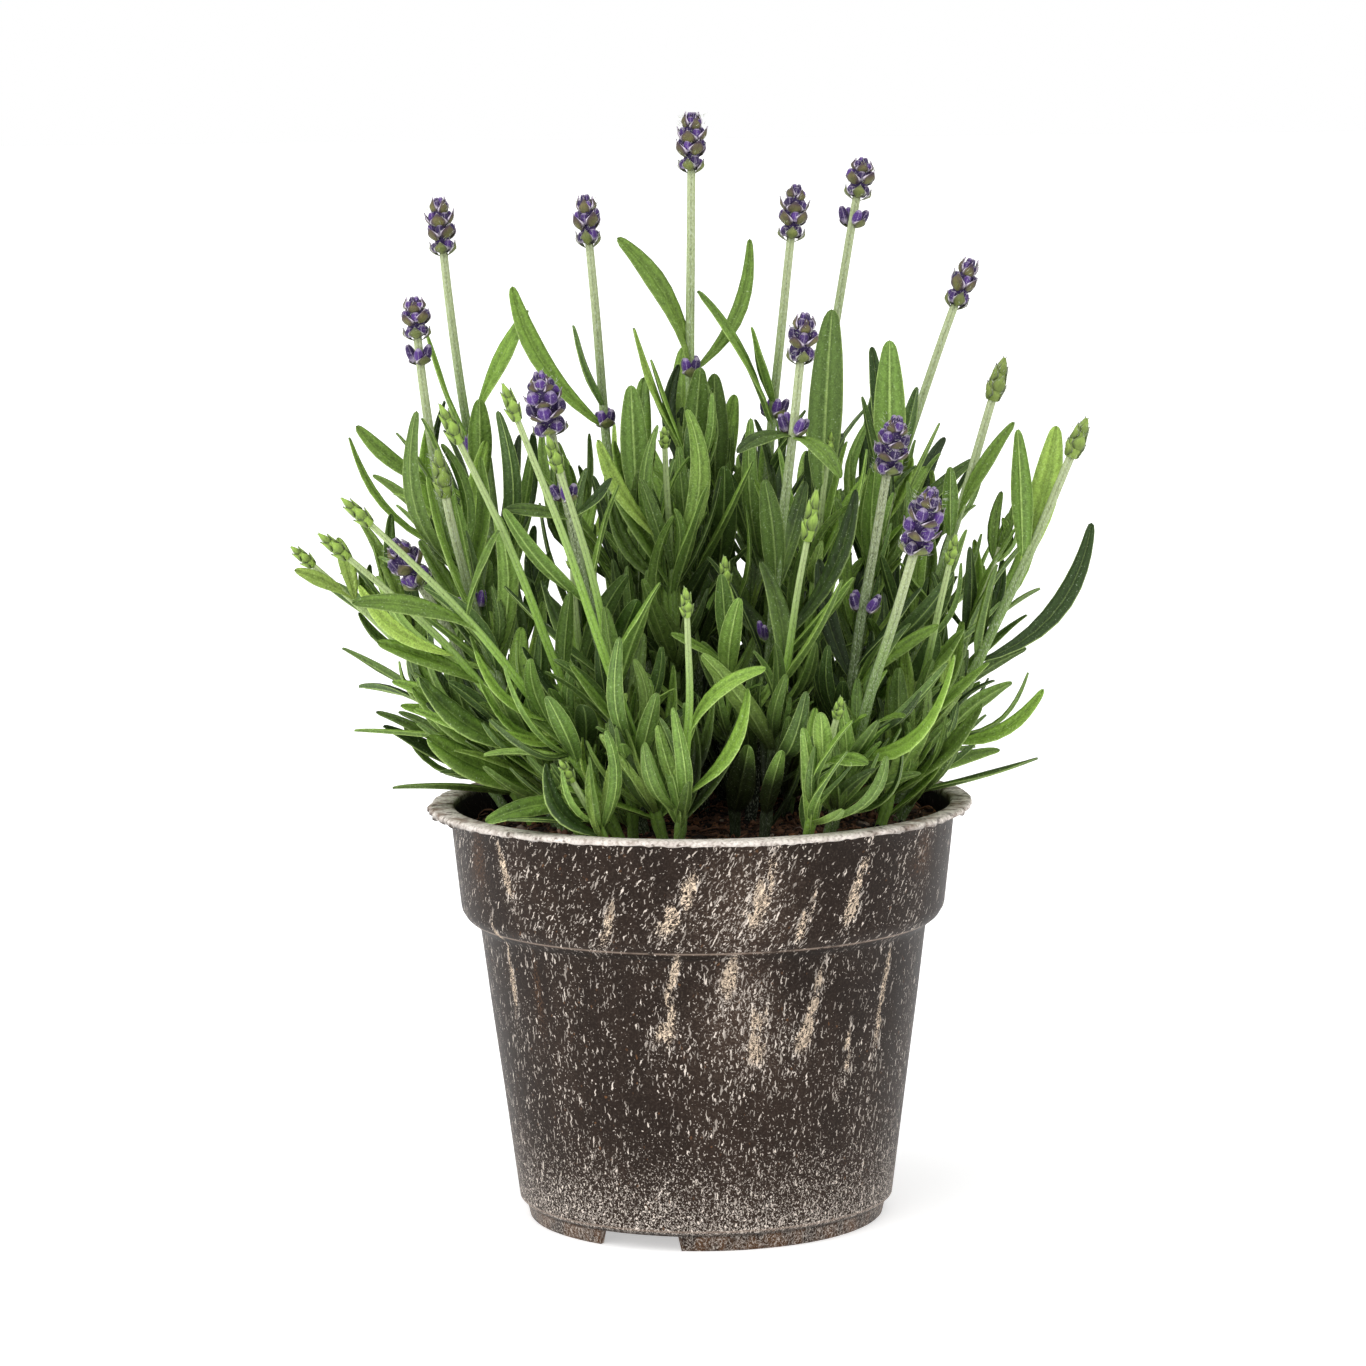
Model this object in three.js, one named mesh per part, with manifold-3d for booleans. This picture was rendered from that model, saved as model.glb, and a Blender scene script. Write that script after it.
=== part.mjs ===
// English lavender in a flecked nursery pot: the pot, the soil in it, the leafy stems that stand in holes
// in the soil, and the flower heads at their ends. Millimetres, +Z up, origin under the middle of the
// pot's foot. The plant's front is towards -Y.

import * as THREE from "three";
import { mergeVertices } from "three/addons/utils/BufferGeometryUtils.js";
import Module from "manifold-3d";

const wasm = await Module();
wasm.setup();

// Pot
const POT_HEIGHT = 101;
const RIM_RADIUS = 65;
const RIM_THICKNESS = 1.8;
const RIM_WIDTH = 5.2;
const COLLAR_TOP_RADIUS = 60.9;
const COLLAR_FOOT_RADIUS = 58.4;
const COLLAR_FOOT_Z = 76.6;
const COLLAR_CORNER_RADIUS = 56.6;
const COLLAR_CORNER_Z = 73.3;
const WALL_TOP_RADIUS = 54;
const WALL_TOP_Z = 71.6;
const WALL_FOOT_RADIUS = 45.3;
const WALL_FOOT_Z = 5;
const FOOT_RADIUS = 42.9;
const FOOT_RING_WIDTH = 1.6;
const FOOT_CHAMFER = 0.9;
const FLOOR_UNDERSIDE = 4.4;
const FLOOR_THICKNESS = 1.4;
const WALL_THICKNESS = 1.3;
const POT_SIDES = 32;
const NOTCH_COUNT = 3;
const NOTCH_ANGLE = 27;
const NOTCH_FIRST_ANGLE = -112;
const NOTCH_HEIGHT = 3.6;
const DRAIN_HOLE_RADIUS = 4;
const DRAIN_RING_RADIUS = 28;

// Soil
const SOIL_LEVEL = 94.5;
const SOIL_MOUND = 2.6;
const SOIL_SLOPE = 0.018;
const SOIL_CRUMB = 0.8;
const SOIL_SIDES = 24;
const SOIL_RINGS = [0.75, 0.42];
const SOIL_SIDE_ROOM = 0.5;
const FIT_GAP = 0.3;

// Stems, leaves and heads
const ROOT_Z = 84;
const STEM_ROWS = 5;
const STEM_SIDE_FOOT = 2.7;
const STEM_SIDE_END = 1.9;
const HOLE_GAP = 0.35;
const HOLE_TOP_Z = 102;
const BLADE_THICKNESS = 1.5;
const BLADE_RISE = 0.6;
const BLADE_CLEARANCE = 1.9;
// Leaf stations, as shares of the length, where its section is set
const LONG_STATIONS = [0.2, 0.5, 0.82];
const SHORT_STATIONS = [0.3, 0.74];
const ROOT_DEPTH = 0.4;
const FIRST_PAIR_Z = 101;
const FIRST_PAIR_SPACING = 14;
const PAIR_SPACING_GROWTH = 2.8;
const LEAF_TALL_Z = 161;
const LEAF_TILT = { low: 46, high: 26, spread: 14 };
const LEAF_LENGTH = { low: 29, high: 37, spread: 9, topLess: 4 };
const LEAF_SLIMNESS = { least: 0.16, spread: 0.06 };
const LEAF_ARCH = { least: -0.1, most: 0.08 };
const LEAF_ROLL_SPREAD = 80;
const LEAF_TURN_SPREAD = 24;
const LEAF_SWEEP_SPREAD = 0.1;
const HEAD_WHORLS = 3;
const WHORL_LENGTH = 4.4;
const WHORL_RADIUS = 3.4;
const HEAD_GAP = 0.3;

// Flowering stems: where each meets the root level, where its stalk ends below the head, how far its middle
// bows away from the straight line, the height that its leaf pairs reach, the height of a whorl apart from the
// head (0 where there is none), and the head's length and radius
const FLOWERING = [
  { foot: [1, 5], end: [-1, 12, 252], bow: [-1.5, 0], leafTop: 176, whorl: 203, head: [13.4, 3.8] },
  { foot: [-14, 12], end: [-26, 25, 234], bow: [0, 0], leafTop: 168, whorl: 190, head: [11.8, 3.5] },
  { foot: [-26, 16], end: [-62, 35, 232], bow: [-6, 3], leafTop: 165, whorl: 183, head: [13.2, 3.8] },
  { foot: [-30, 8], end: [-67, 5, 213], bow: [-7, 0], leafTop: 155, whorl: 206.8, head: [9.4, 3.8] },
  { foot: [-11, -18], end: [-34, -38, 193], bow: [-0.5, 1], leafTop: 160, whorl: 177, head: [14.4, 4.7] },
  { foot: [12, 10], end: [23, 25, 235], bow: [-2, 0], leafTop: 160, whorl: 192, head: [12.8, 3.8] },
  { foot: [17, 20], end: [39.5, 38, 244.5], bow: [-2, 0], leafTop: 168, whorl: 237.5, head: [9.4, 3.8] },
  { foot: [10, -10], end: [24, -25, 208], bow: [0, 0], leafTop: 172, whorl: 191, head: [11.2, 3.7] },
  { foot: [27, 15], end: [63, 30, 218], bow: [-4, 0], leafTop: 165, whorl: 0, head: [11.8, 3.4] },
  { foot: [30, -13], end: [44, -28, 182], bow: [-1, 0], leafTop: 140, whorl: 149, head: [13.4, 4.3] },
  { foot: [26, -28], end: [49, -55, 166], bow: [0, 0], leafTop: 124, whorl: 0, head: [16, 4.5] },
  { foot: [-29, -4], end: [-67, -2, 154], bow: [1, 0], leafTop: 128, whorl: 0, head: [12.5, 4.5] },
  { foot: [37, 6], end: [71, 12, 196], bow: [0, 0], leafTop: 146, whorl: 0, head: [10, 2.9] },
  { foot: [41, -4], end: [89, 0, 183], bow: [1.5, 0], leafTop: 128, whorl: 0, head: [9.4, 2.9] },
  { foot: [-27, -11], end: [-60, -12, 176], bow: [-4, 0], leafTop: 142, whorl: 149, head: [10.8, 2.7] },
];

// Stems that end in a green bud
const BUDDING = [
  { foot: [-20, -21], end: [-55, -48, 192], bow: [4, -1], leafTop: 130, bud: 9 },
  { foot: [-6, -31], end: [-41, -62, 198], bow: [2, -3], leafTop: 128, bud: 8 },
  { foot: [-16, -27], end: [-32, -47, 185], bow: [4, 0], leafTop: 118, bud: 8 },
  { foot: [-14, -36], end: [-76, -45, 173], bow: [8, 0], leafTop: 120, bud: 8 },
  { foot: [-25, -19], end: [-83, -22, 163], bow: [9, 0], leafTop: 128, bud: 8 },
  { foot: [-36, 2], end: [-93, 0, 159], bow: [7, 0], leafTop: 128, bud: 6 },
  { foot: [-4, -4], end: [-8, -5, 187], bow: [0, 0], leafTop: 158, bud: 4 },
  { foot: [-8, -43], end: [-3, -62, 153], bow: [2, 1], leafTop: 112, bud: 6 },
  { foot: [8, -24], end: [6, -35, 157], bow: [0, 0], leafTop: 132, bud: 6 },
  { foot: [19, 1], end: [31, 2, 184], bow: [0, 0], leafTop: 156, bud: 5 },
  { foot: [21, -41], end: [31, -60, 129], bow: [0, 0], leafTop: 104, bud: 4.5 },
  { foot: [38, -19], end: [59, -20, 160], bow: [1, 0], leafTop: 130, bud: 6 },
  { foot: [13, -33], end: [25, -41, 168], bow: [-1, 0], leafTop: 140, bud: 11 },
  { foot: [-22, -14], end: [-30, -20, 160], bow: [-1, 0], leafTop: 138, bud: 4 },
  { foot: [-17, -44], end: [-30, -53, 114], bow: [1, 0], leafTop: 84, bud: 5 },
];

// Leafy shoots without a flower, which fill the middle and the back
const LEAFY = [
  { foot: [26, 7], end: [47, 10, 174], bow: [0, 0], leafTop: 166 },
  { foot: [-11, 4], end: [-15, 9, 172], bow: [0, 0], leafTop: 165 },
  { foot: [5, 17], end: [4, 20, 176], bow: [0, 0], leafTop: 168 },
  { foot: [-34, 22], end: [-60, 45, 158], bow: [-2, 3], leafTop: 152 },
  { foot: [-21, 30], end: [-33, 54, 164], bow: [0, 2], leafTop: 156 },
  { foot: [-6, 33], end: [-6, 57, 170], bow: [0, 2], leafTop: 160 },
  { foot: [9, 30], end: [14, 45, 180], bow: [0, 2], leafTop: 168 },
  { foot: [20, 37], end: [31, 58, 163], bow: [0, 2], leafTop: 155 },
  { foot: [33, 27], end: [56, 45, 162], bow: [0, 3], leafTop: 154 },
  { foot: [41, 15], end: [74, 34, 158], bow: [2, 2], leafTop: 150 },
  { foot: [-40, 12], end: [-78, 28, 148], bow: [-1, 2], leafTop: 142 },
];

// Single leaves at their own places: stem, height of the leaf's root, tip, blade width, how far the blade
// arches upwards as a share of its length (below zero it hangs and its tip turns up), and how far it turns
// to the front, in degrees
const PLACED_LEAVES = [
  ["flowering_01", 200, [-19, 8, 236], 5, 0.1, 60],
  ["flowering_01", 203, [13, 22, 235], 3, -0.16, 50],
  ["flowering_02", 189, [-45, 24, 224], 4.4, -0.1, 60],
  ["flowering_02", 194, [-30, 12, 215], 3.4, -0.08, 50],
  ["flowering_03", 182, [-66, 22, 213], 4, -0.04, 60],
  ["flowering_03", 186, [-41, 26, 218], 5.4, 0.03, 60],
  ["flowering_03", 174, [-53, 18, 197], 4.6, 0, 60],
  ["flowering_04", 176, [-82, 2, 192], 4, -0.06, 60],
  ["flowering_04", 164, [-66, -3, 194], 5, 0.08, 60],
  ["flowering_05", 172, [-45, -38, 175], 3.4, 0.05, 50],
  ["flowering_05", 172, [-20, -36, 182], 3, -0.06, 50],
  ["flowering_06", 188, [0, 8, 223], 5.2, 0.06, 60],
  ["flowering_06", 194, [13, 14, 214], 3.8, -0.04, 50],
  ["flowering_06", 178, [26, 10, 194], 3.6, 0, 50],
  ["flowering_08", 190, [9, -30, 187], 3.6, 0.12, 40],
  ["flowering_08", 190, [33, -32, 181], 3.6, 0.14, 40],
  ["flowering_08", 138, [37, -26, 178], 5.6, -0.1, 65],
  ["flowering_08", 127, [27, -34, 143], 7, -0.22, 60],
  ["flowering_08", 114, [27, -20, 121], 4, 0.08, 50],
  ["flowering_09", 178, [53, 14, 199], 3.6, 0, 50],
  ["flowering_10", 128, [56, -30, 146], 4, 0.05, 60],
  ["flowering_11", 117, [58, -62, 143], 7, -0.2, 65],
  ["flowering_13", 163, [76, 4, 191], 4.4, 0.04, 60],
  ["flowering_13", 162, [60, -4, 181], 3, 0, 50],
  ["flowering_13", 146, [48, -2, 158], 4, -0.06, 50],
  ["flowering_14", 157, [76, -5, 190], 4.8, 0.02, 60],
  ["flowering_14", 157, [86, 6, 190], 5.4, -0.04, 65],
  ["flowering_14", 134, [95, 12, 166], 4, -0.17, 65],
  ["flowering_14", 134, [71, -8, 158], 5, 0.03, 60],
  ["flowering_14", 115, [82, -8, 128], 3.4, -0.16, 60],
  ["flowering_12", 107, [-69, -8, 130], 5, -0.04, 65],
  ["flowering_15", 143, [-64, -22, 182], 5.4, -0.06, 65],
  ["flowering_15", 106, [-65, -22, 120], 7, -0.06, 65],
  ["budding_01", 134, [-30, -42, 156], 3.6, 0.05, 60],
  ["budding_01", 122, [-46, -50, 125], 3.4, -0.1, 50],
  ["budding_03", 132, [-9, -52, 159], 6.6, 0.05, 65],
  ["budding_03", 131, [-22, -46, 153], 3.6, 0, 50],
  ["budding_03", 114, [-3, -46, 129], 4.4, 0.03, 60],
  ["budding_04", 147, [-80, -50, 155], 4.2, 0.08, 60],
  ["budding_04", 150, [-46, -46, 171], 3.4, 0.04, 50],
  ["budding_04", 126, [-52, -52, 144], 4, -0.14, 60],
  ["budding_04", 105, [-50, -52, 104], 4.6, 0.08, 50],
  ["budding_05", 139, [-80, -30, 157], 4.2, -0.12, 60],
  ["budding_05", 132, [-76, -26, 143], 4.2, 0.03, 60],
  ["budding_05", 116, [-66, -30, 135], 5.4, -0.1, 65],
  ["budding_06", 150, [-97, -4, 158], 3.4, 0.04, 60],
  ["budding_06", 150, [-87, 4, 165], 3, 0.04, 50],
  ["budding_06", 113, [-68, 4, 125], 4.4, -0.04, 60],
  ["budding_07", 162, [-24, -10, 189], 4.6, -0.08, 60],
  ["budding_07", 150, [2, -16, 178], 4.6, 0, 50],
  ["budding_08", 109, [11, -55, 135], 4.2, -0.14, 60],
  ["budding_08", 119, [15, -60, 140], 4, 0.16, 60],
  ["budding_09", 136, [-7, -42, 146], 3.6, 0.04, 50],
  ["budding_09", 139, [5, -44, 160], 3.6, 0, 50],
  ["budding_10", 172, [32, -6, 219], 7.4, 0.02, 40],
  ["budding_11", 117, [38, -62, 118], 3.4, 0.1, 50],
  ["budding_11", 116, [27, -70, 131], 3.4, 0.03, 50],
  ["budding_12", 129, [62, -30, 145], 6, 0, 65],
  ["budding_12", 104, [66, -34, 128], 5, -0.06, 65],
  ["budding_15", 100, [-36, -54, 118], 5, -0.2, 60],
  ["leafy_01", 170, [46, 4, 211], 6, 0, 40],
  ["leafy_01", 172, [42, 14, 209], 3.6, 0, 40],
  ["leafy_01", 168, [39, -2, 198], 3, 0, 50],
  ["leafy_02", 170, [-16, 2, 201], 5.4, 0, 40],
  ["leafy_02", 168, [-13, 16, 202], 4.4, 0.04, 40],
  ["leafy_03", 172, [4, 12, 203], 5.2, 0, 40],
  ["leafy_03", 170, [9, 26, 197], 4.4, 0, 40],
];

function finish(color, roughness) {
  return new THREE.MeshStandardMaterial({ color, roughness, metalness: 0, flatShading: true });
}

const GREEN = finish(0x4b782d, 0.6);
const DARK_SHELL = finish(0x3a322e, 0.5);
const EARTH = finish(0x2b1d14, 1);
const VIOLET = finish(0x50328c, 0.8);

const radians = THREE.MathUtils.degToRad;
const lerp = THREE.MathUtils.lerp;

function vector(x, y, z) {
  return new THREE.Vector3(x, y, z);
}

// Seeded random numbers: the same row of numbers for the same seed
function seeded(seed) {
  let state = (seed * 2654435761) >>> 0;
  return () => {
    state = (Math.imul(state, 1664525) + 1013904223) >>> 0;
    return state / 4294967296;
  };
}

// Closed mesh to solid, with shared corners merged and triangles without area dropped
function solidOf(geometry) {
  const bare = new THREE.BufferGeometry();
  bare.setAttribute("position", geometry.getAttribute("position").clone());
  if (geometry.index) bare.setIndex(geometry.index.clone());
  const merged = mergeVertices(bare, 1e-4);
  const index = Array.from(merged.index.array);
  const kept = [];
  for (let i = 0; i < index.length; i += 3) {
    const [a, b, c] = [index[i], index[i + 1], index[i + 2]];
    if (a !== b && b !== c && c !== a) kept.push(a, b, c);
  }
  const mesh = new wasm.Mesh({
    numProp: 3,
    vertProperties: new Float32Array(merged.getAttribute("position").array),
    triVerts: new Uint32Array(kept),
  });
  return new wasm.Manifold(mesh);
}

function meshOf(name, solid, material) {
  const { vertProperties, triVerts } = solid.getMesh();
  const geometry = new THREE.BufferGeometry();
  geometry.setAttribute("position", new THREE.BufferAttribute(vertProperties, 3));
  geometry.setIndex(new THREE.BufferAttribute(triVerts, 1));
  geometry.computeVertexNormals();
  const mesh = new THREE.Mesh(geometry, material);
  mesh.name = name;
  return mesh;
}

// Solid through rings of equally many corners, closed flat at both ends, or on a point where one is given
function loft(rings, root, tip) {
  const points = rings.flat();
  const corners = rings[0].length;
  const last = (rings.length - 1) * corners;
  const index = [];
  for (let corner = 0; corner < corners; corner += 1) {
    const next = (corner + 1) % corners;
    for (let row = 0; row < last; row += corners) {
      const [a, b] = [row + corner, row + next];
      index.push(a, b, b + corners, a, b + corners, a + corners);
    }
    if (root) index.push(points.length, next, corner);
    if (tip) index.push(last + corner, last + next, points.length + 1);
  }
  for (let corner = 2; corner < corners; corner += 1) {
    if (!root) index.push(0, corner, corner - 1);
    if (!tip) index.push(last, last + corner - 1, last + corner);
  }
  if (root) points.push(root, tip);
  const geometry = new THREE.BufferGeometry().setFromPoints(points);
  geometry.setIndex(index);
  return solidOf(geometry);
}

// Two directions square to an axis, the first as near +X as it can be
function across(axis) {
  const first = vector(1, 0, 0).addScaledVector(axis, -axis.x).normalize();
  const second = vector(0, 0, 0).crossVectors(axis, first);
  return [first, second];
}

// Lathe profile from points of radius and height, turned about Z
function turned(profile, sides) {
  const points = profile.map(([radius, z]) => new THREE.Vector2(radius, z));
  const geometry = new THREE.LatheGeometry(points, sides);
  geometry.rotateX(Math.PI / 2);
  return geometry;
}

function pot() {
  const inner = [
    [RIM_RADIUS - RIM_WIDTH, POT_HEIGHT],
    [COLLAR_TOP_RADIUS - WALL_THICKNESS, POT_HEIGHT - RIM_THICKNESS],
    [COLLAR_CORNER_RADIUS - WALL_THICKNESS, COLLAR_CORNER_Z + WALL_THICKNESS],
    [WALL_TOP_RADIUS - WALL_THICKNESS, WALL_TOP_Z + WALL_THICKNESS / 2],
    [WALL_FOOT_RADIUS - WALL_THICKNESS, FLOOR_UNDERSIDE + FLOOR_THICKNESS],
    [0, FLOOR_UNDERSIDE + FLOOR_THICKNESS],
  ];
  const profile = [
    [0, FLOOR_UNDERSIDE],
    [FOOT_RADIUS - FOOT_RING_WIDTH, FLOOR_UNDERSIDE],
    [FOOT_RADIUS - FOOT_RING_WIDTH, 0],
    [FOOT_RADIUS, 0],
    [FOOT_RADIUS + FOOT_CHAMFER, 4],
    [WALL_FOOT_RADIUS, WALL_FOOT_Z],
    [WALL_TOP_RADIUS, WALL_TOP_Z],
    [COLLAR_CORNER_RADIUS, COLLAR_CORNER_Z],
    [COLLAR_FOOT_RADIUS, COLLAR_FOOT_Z],
    [COLLAR_TOP_RADIUS, POT_HEIGHT - RIM_THICKNESS],
    [RIM_RADIUS, POT_HEIGHT - RIM_THICKNESS],
    [RIM_RADIUS, POT_HEIGHT],
    ...inner,
  ];
  let shell = solidOf(turned(profile, POT_SIDES));
  const reach = 1.15 * FOOT_RADIUS;
  const holes = [drainHole(0, 0)];
  for (let i = 0; i < NOTCH_COUNT; i += 1) {
    const middle = radians(NOTCH_FIRST_ANGLE + (360 / NOTCH_COUNT) * i);
    const half = radians(NOTCH_ANGLE / 2);
    const sector = new THREE.Shape();
    sector.moveTo(0, 0);
    for (const side of [-half, half]) {
      sector.lineTo(reach * Math.cos(middle + side), reach * Math.sin(middle + side));
    }
    const notch = new THREE.ExtrudeGeometry(sector, { depth: NOTCH_HEIGHT + 1, bevelEnabled: false });
    notch.translate(0, 0, -1);
    holes.push(solidOf(notch));
    holes.push(drainHole(DRAIN_RING_RADIUS * Math.cos(middle), DRAIN_RING_RADIUS * Math.sin(middle)));
  }
  for (const hole of holes) shell = shell.subtract(hole);
  return shell;
}

function drainHole(x, y) {
  const hole = new THREE.CylinderGeometry(DRAIN_HOLE_RADIUS, DRAIN_HOLE_RADIUS, 3 * FLOOR_THICKNESS, 10);
  hole.rotateX(Math.PI / 2);
  hole.translate(x, y, FLOOR_UNDERSIDE + FLOOR_THICKNESS / 2);
  return solidOf(hole);
}

// Height of the soil: a low mound that rises to the right and the back
function soilHeight(x, y) {
  const out = Math.min(1, Math.hypot(x, y) / COLLAR_TOP_RADIUS);
  return SOIL_LEVEL + SOIL_MOUND * (1 - out * out) + SOIL_SLOPE * (x + y);
}

function soil() {
  const draw = seeded(7);
  const inset = WALL_THICKNESS + FIT_GAP + SOIL_SIDE_ROOM;
  const floor = FLOOR_UNDERSIDE + FLOOR_THICKNESS + FIT_GAP;
  const upCollar = (SOIL_LEVEL - COLLAR_CORNER_Z) / (POT_HEIGHT - RIM_THICKNESS - COLLAR_CORNER_Z);
  const edge = lerp(COLLAR_CORNER_RADIUS, COLLAR_TOP_RADIUS, upCollar) - inset;
  const profile = [
    [0, floor],
    [WALL_FOOT_RADIUS - inset, floor],
    [WALL_TOP_RADIUS - inset, WALL_TOP_Z + WALL_THICKNESS],
    [COLLAR_CORNER_RADIUS - inset, COLLAR_CORNER_Z + 2 * WALL_THICKNESS],
    [edge, SOIL_LEVEL],
    ...SOIL_RINGS.map((share) => [share * edge, SOIL_LEVEL]),
    [0, SOIL_LEVEL],
  ];
  const geometry = mergeVertices(stripped(turned(profile, SOIL_SIDES)), 1e-3);
  const position = geometry.getAttribute("position");
  for (let i = 0; i < position.count; i += 1) {
    if (position.getZ(i) < SOIL_LEVEL - 0.01) continue;
    const crumb = SOIL_CRUMB * (2 * draw() - 1);
    position.setZ(i, soilHeight(position.getX(i), position.getY(i)) + crumb);
  }
  return solidOf(geometry);
}

function stripped(geometry) {
  geometry.deleteAttribute("normal");
  geometry.deleteAttribute("uv");
  return geometry;
}

// Stem as a curve with square rings that grow slimmer towards its end
function stemCurve({ foot, end, bow }) {
  const start = vector(foot[0], foot[1], ROOT_Z);
  const finish = vector(...end);
  const middle = start.clone().add(finish).multiplyScalar(0.5);
  const control = middle.add(vector(2 * bow[0], 2 * bow[1], 0));
  return new THREE.QuadraticBezierCurve3(start, control, finish);
}

function stemSide(t) {
  return lerp(STEM_SIDE_FOOT, STEM_SIDE_END, t);
}

function squareRing(curve, t, side) {
  const [first, second] = across(curve.getTangent(t));
  const centre = curve.getPoint(t);
  const half = side / 2;
  const corners = [[-half, -half], [half, -half], [half, half], [-half, half]];
  return corners.map(([a, b]) => centre.clone().addScaledVector(first, a).addScaledVector(second, b));
}

// The first stretch is straight, out of the soil, and the rest follows the curve
function stemRod(curve) {
  const clear = stemAt(curve, HOLE_TOP_Z);
  const rings = [squareRing(curve, 0, stemSide(0))];
  for (let row = 0; row < STEM_ROWS; row += 1) {
    const t = lerp(clear, 1, row / (STEM_ROWS - 1));
    rings.push(squareRing(curve, t, stemSide(t)));
  }
  return loft(rings);
}

// Plain hole that a stem stands in, parallel to the stem's own faces and open above the soil
function stemHole(curve) {
  const clear = stemAt(curve, HOLE_TOP_Z);
  const rings = [0, clear].map((t) => squareRing(curve, t, stemSide(t) + 2 * HOLE_GAP));
  const below = curve.getTangent(0).multiplyScalar(-HOLE_GAP);
  rings[0].forEach((corner) => corner.add(below));
  return loft(rings);
}

// Where a stem reaches a height
function stemAt(curve, z) {
  let [low, high] = [0, 1];
  for (let i = 0; i < 24; i += 1) {
    const t = (low + high) / 2;
    if (curve.getPoint(t).z < z) low = t;
    else high = t;
  }
  return low;
}

// Blade width along its length, as a share of its widest: slim at the stem, widest past the middle, blunt tip
function bladeShare(s) {
  return 0.24 + 0.76 * Math.sin(Math.PI * Math.min(1, s * 1.02) ** 1.25) ** 0.8;
}

// Leaf from its root point to its tip. Up is the side that faces the stem.
function leafFrame(root, tip, arch, sweep, roll) {
  const chord = tip.clone().sub(root);
  const length = chord.length();
  chord.normalize();
  let side = vector(-chord.y, chord.x, 0);
  if (side.length() < 0.05) side = vector(0, 1, 0);
  side.normalize();
  const up = vector(0, 0, 0).crossVectors(chord, side);
  return { root, chord, side, up, length, arch, sweep, roll };
}

function leafStation(leaf, s) {
  const { root, chord, side, up, length, arch, sweep, roll } = leaf;
  const hump = 4 * s * (1 - s) * length;
  const slope = 4 * (1 - 2 * s);
  const point = root.clone().addScaledVector(chord, s * length);
  point.addScaledVector(up, arch * hump).addScaledVector(side, sweep * hump);
  const along = chord.clone().addScaledVector(up, arch * slope).addScaledVector(side, sweep * slope);
  along.normalize();
  const width = side.clone().addScaledVector(along, -side.dot(along)).normalize();
  const normal = vector(0, 0, 0).crossVectors(along, width);
  const turn = roll * Math.min(1, 0.3 + s);
  const left = width.clone().multiplyScalar(Math.cos(turn)).addScaledVector(normal, Math.sin(turn));
  const face = normal.clone().multiplyScalar(Math.cos(turn)).addScaledVector(width, -Math.sin(turn));
  return { point, left, face };
}

function bladePoint({ point, left, face }, width, offset) {
  const raised = BLADE_RISE * Math.abs(offset);
  return point.clone().addScaledVector(left, offset * width * 0.5).addScaledVector(face, raised);
}

function blade(leaf, width, shares) {
  const rings = shares.map((s) => {
    const station = leafStation(leaf, s);
    const here = width * bladeShare(s);
    const rib = station.point.clone().addScaledVector(station.face, BLADE_RISE - BLADE_THICKNESS);
    return [bladePoint(station, here, 1), bladePoint(station, here, -1), rib];
  });
  return loft(rings, leafStation(leaf, 0).point, leafStation(leaf, 1).point);
}

// Room keeps every blade, stem and head apart from those of other stems. Each is held as points with a radius.
const CELL = 4;
const ROOM_STEP = 2;
const ROOM_FROM = 2.5;
const OWN_ROOM_FROM = 7;
const OWN_ROOM_LESS = 0.7;
const WIDE_ROOM = [-0.9, -0.45, 0, 0.45, 0.9];
const NARROW_ROOM = [-0.85, 0, 0.85];
const STEM_ROOM_RADIUS = 1.9;
const HEAD_ROOM_RADIUS = 1.6;
const HEAD_ROOM_SIDES = 8;
const taken = new Map();

function cellKey(i, j, k) {
  return (i + 100) * 1000000 + (j + 100) * 1000 + k;
}

function take(points) {
  for (const item of points) {
    const { x, y, z } = item.point;
    const key = cellKey(Math.floor(x / CELL), Math.floor(y / CELL), Math.floor(z / CELL));
    if (!taken.has(key)) taken.set(key, []);
    taken.get(key).push(item);
  }
}

function meets(item, other) {
  const ownJoint = item.owner === other.owner && (item.nearRoot || other.nearRoot);
  if (ownJoint) return false;
  const room = item.radius + other.radius - (item.owner === other.owner ? OWN_ROOM_LESS : 0);
  return item.point.distanceToSquared(other.point) < room * room;
}

function isFree(points) {
  for (const item of points) {
    const { x, y, z } = item.point;
    if (z < lowestAt(x, y)) return false;
    const [ci, cj, ck] = [Math.floor(x / CELL), Math.floor(y / CELL), Math.floor(z / CELL)];
    for (let i = ci - 1; i <= ci + 1; i += 1) {
      for (let j = cj - 1; j <= cj + 1; j += 1) {
        for (let k = ck - 1; k <= ck + 1; k += 1) {
          const near = taken.get(cellKey(i, j, k));
          if (near && near.some((other) => meets(item, other))) return false;
        }
      }
    }
  }
  return true;
}

// Lowest that a blade may be: clear of the soil, and of the rim further out
function lowestAt(x, y) {
  const out = Math.hypot(x, y);
  if (out > COLLAR_CORNER_RADIUS) return POT_HEIGHT + BLADE_THICKNESS;
  return soilHeight(x, y) + SOIL_CRUMB + BLADE_THICKNESS;
}

function bladeRoom(leaf, width, owner) {
  const points = [];
  const rows = Math.ceil(leaf.length / ROOM_STEP);
  for (let row = 1; row <= rows; row += 1) {
    const s = row / rows;
    const station = leafStation(leaf, s);
    const here = width * bladeShare(s);
    const nearRoot = s * leaf.length < OWN_ROOM_FROM;
    if (s * leaf.length < ROOM_FROM) continue;
    for (const offset of here > 2 * ROOM_STEP ? WIDE_ROOM : NARROW_ROOM) {
      points.push({ point: bladePoint(station, here, offset), radius: BLADE_CLEARANCE / 2, owner, nearRoot });
    }
  }
  return points;
}

function stemRoom(curve, owner) {
  const points = [];
  const steps = Math.ceil(curve.getLength() / ROOM_STEP);
  for (let i = 0; i <= steps; i += 1) {
    points.push({ point: curve.getPoint(i / steps), radius: STEM_ROOM_RADIUS, owner, nearRoot: true });
  }
  return points;
}

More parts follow.
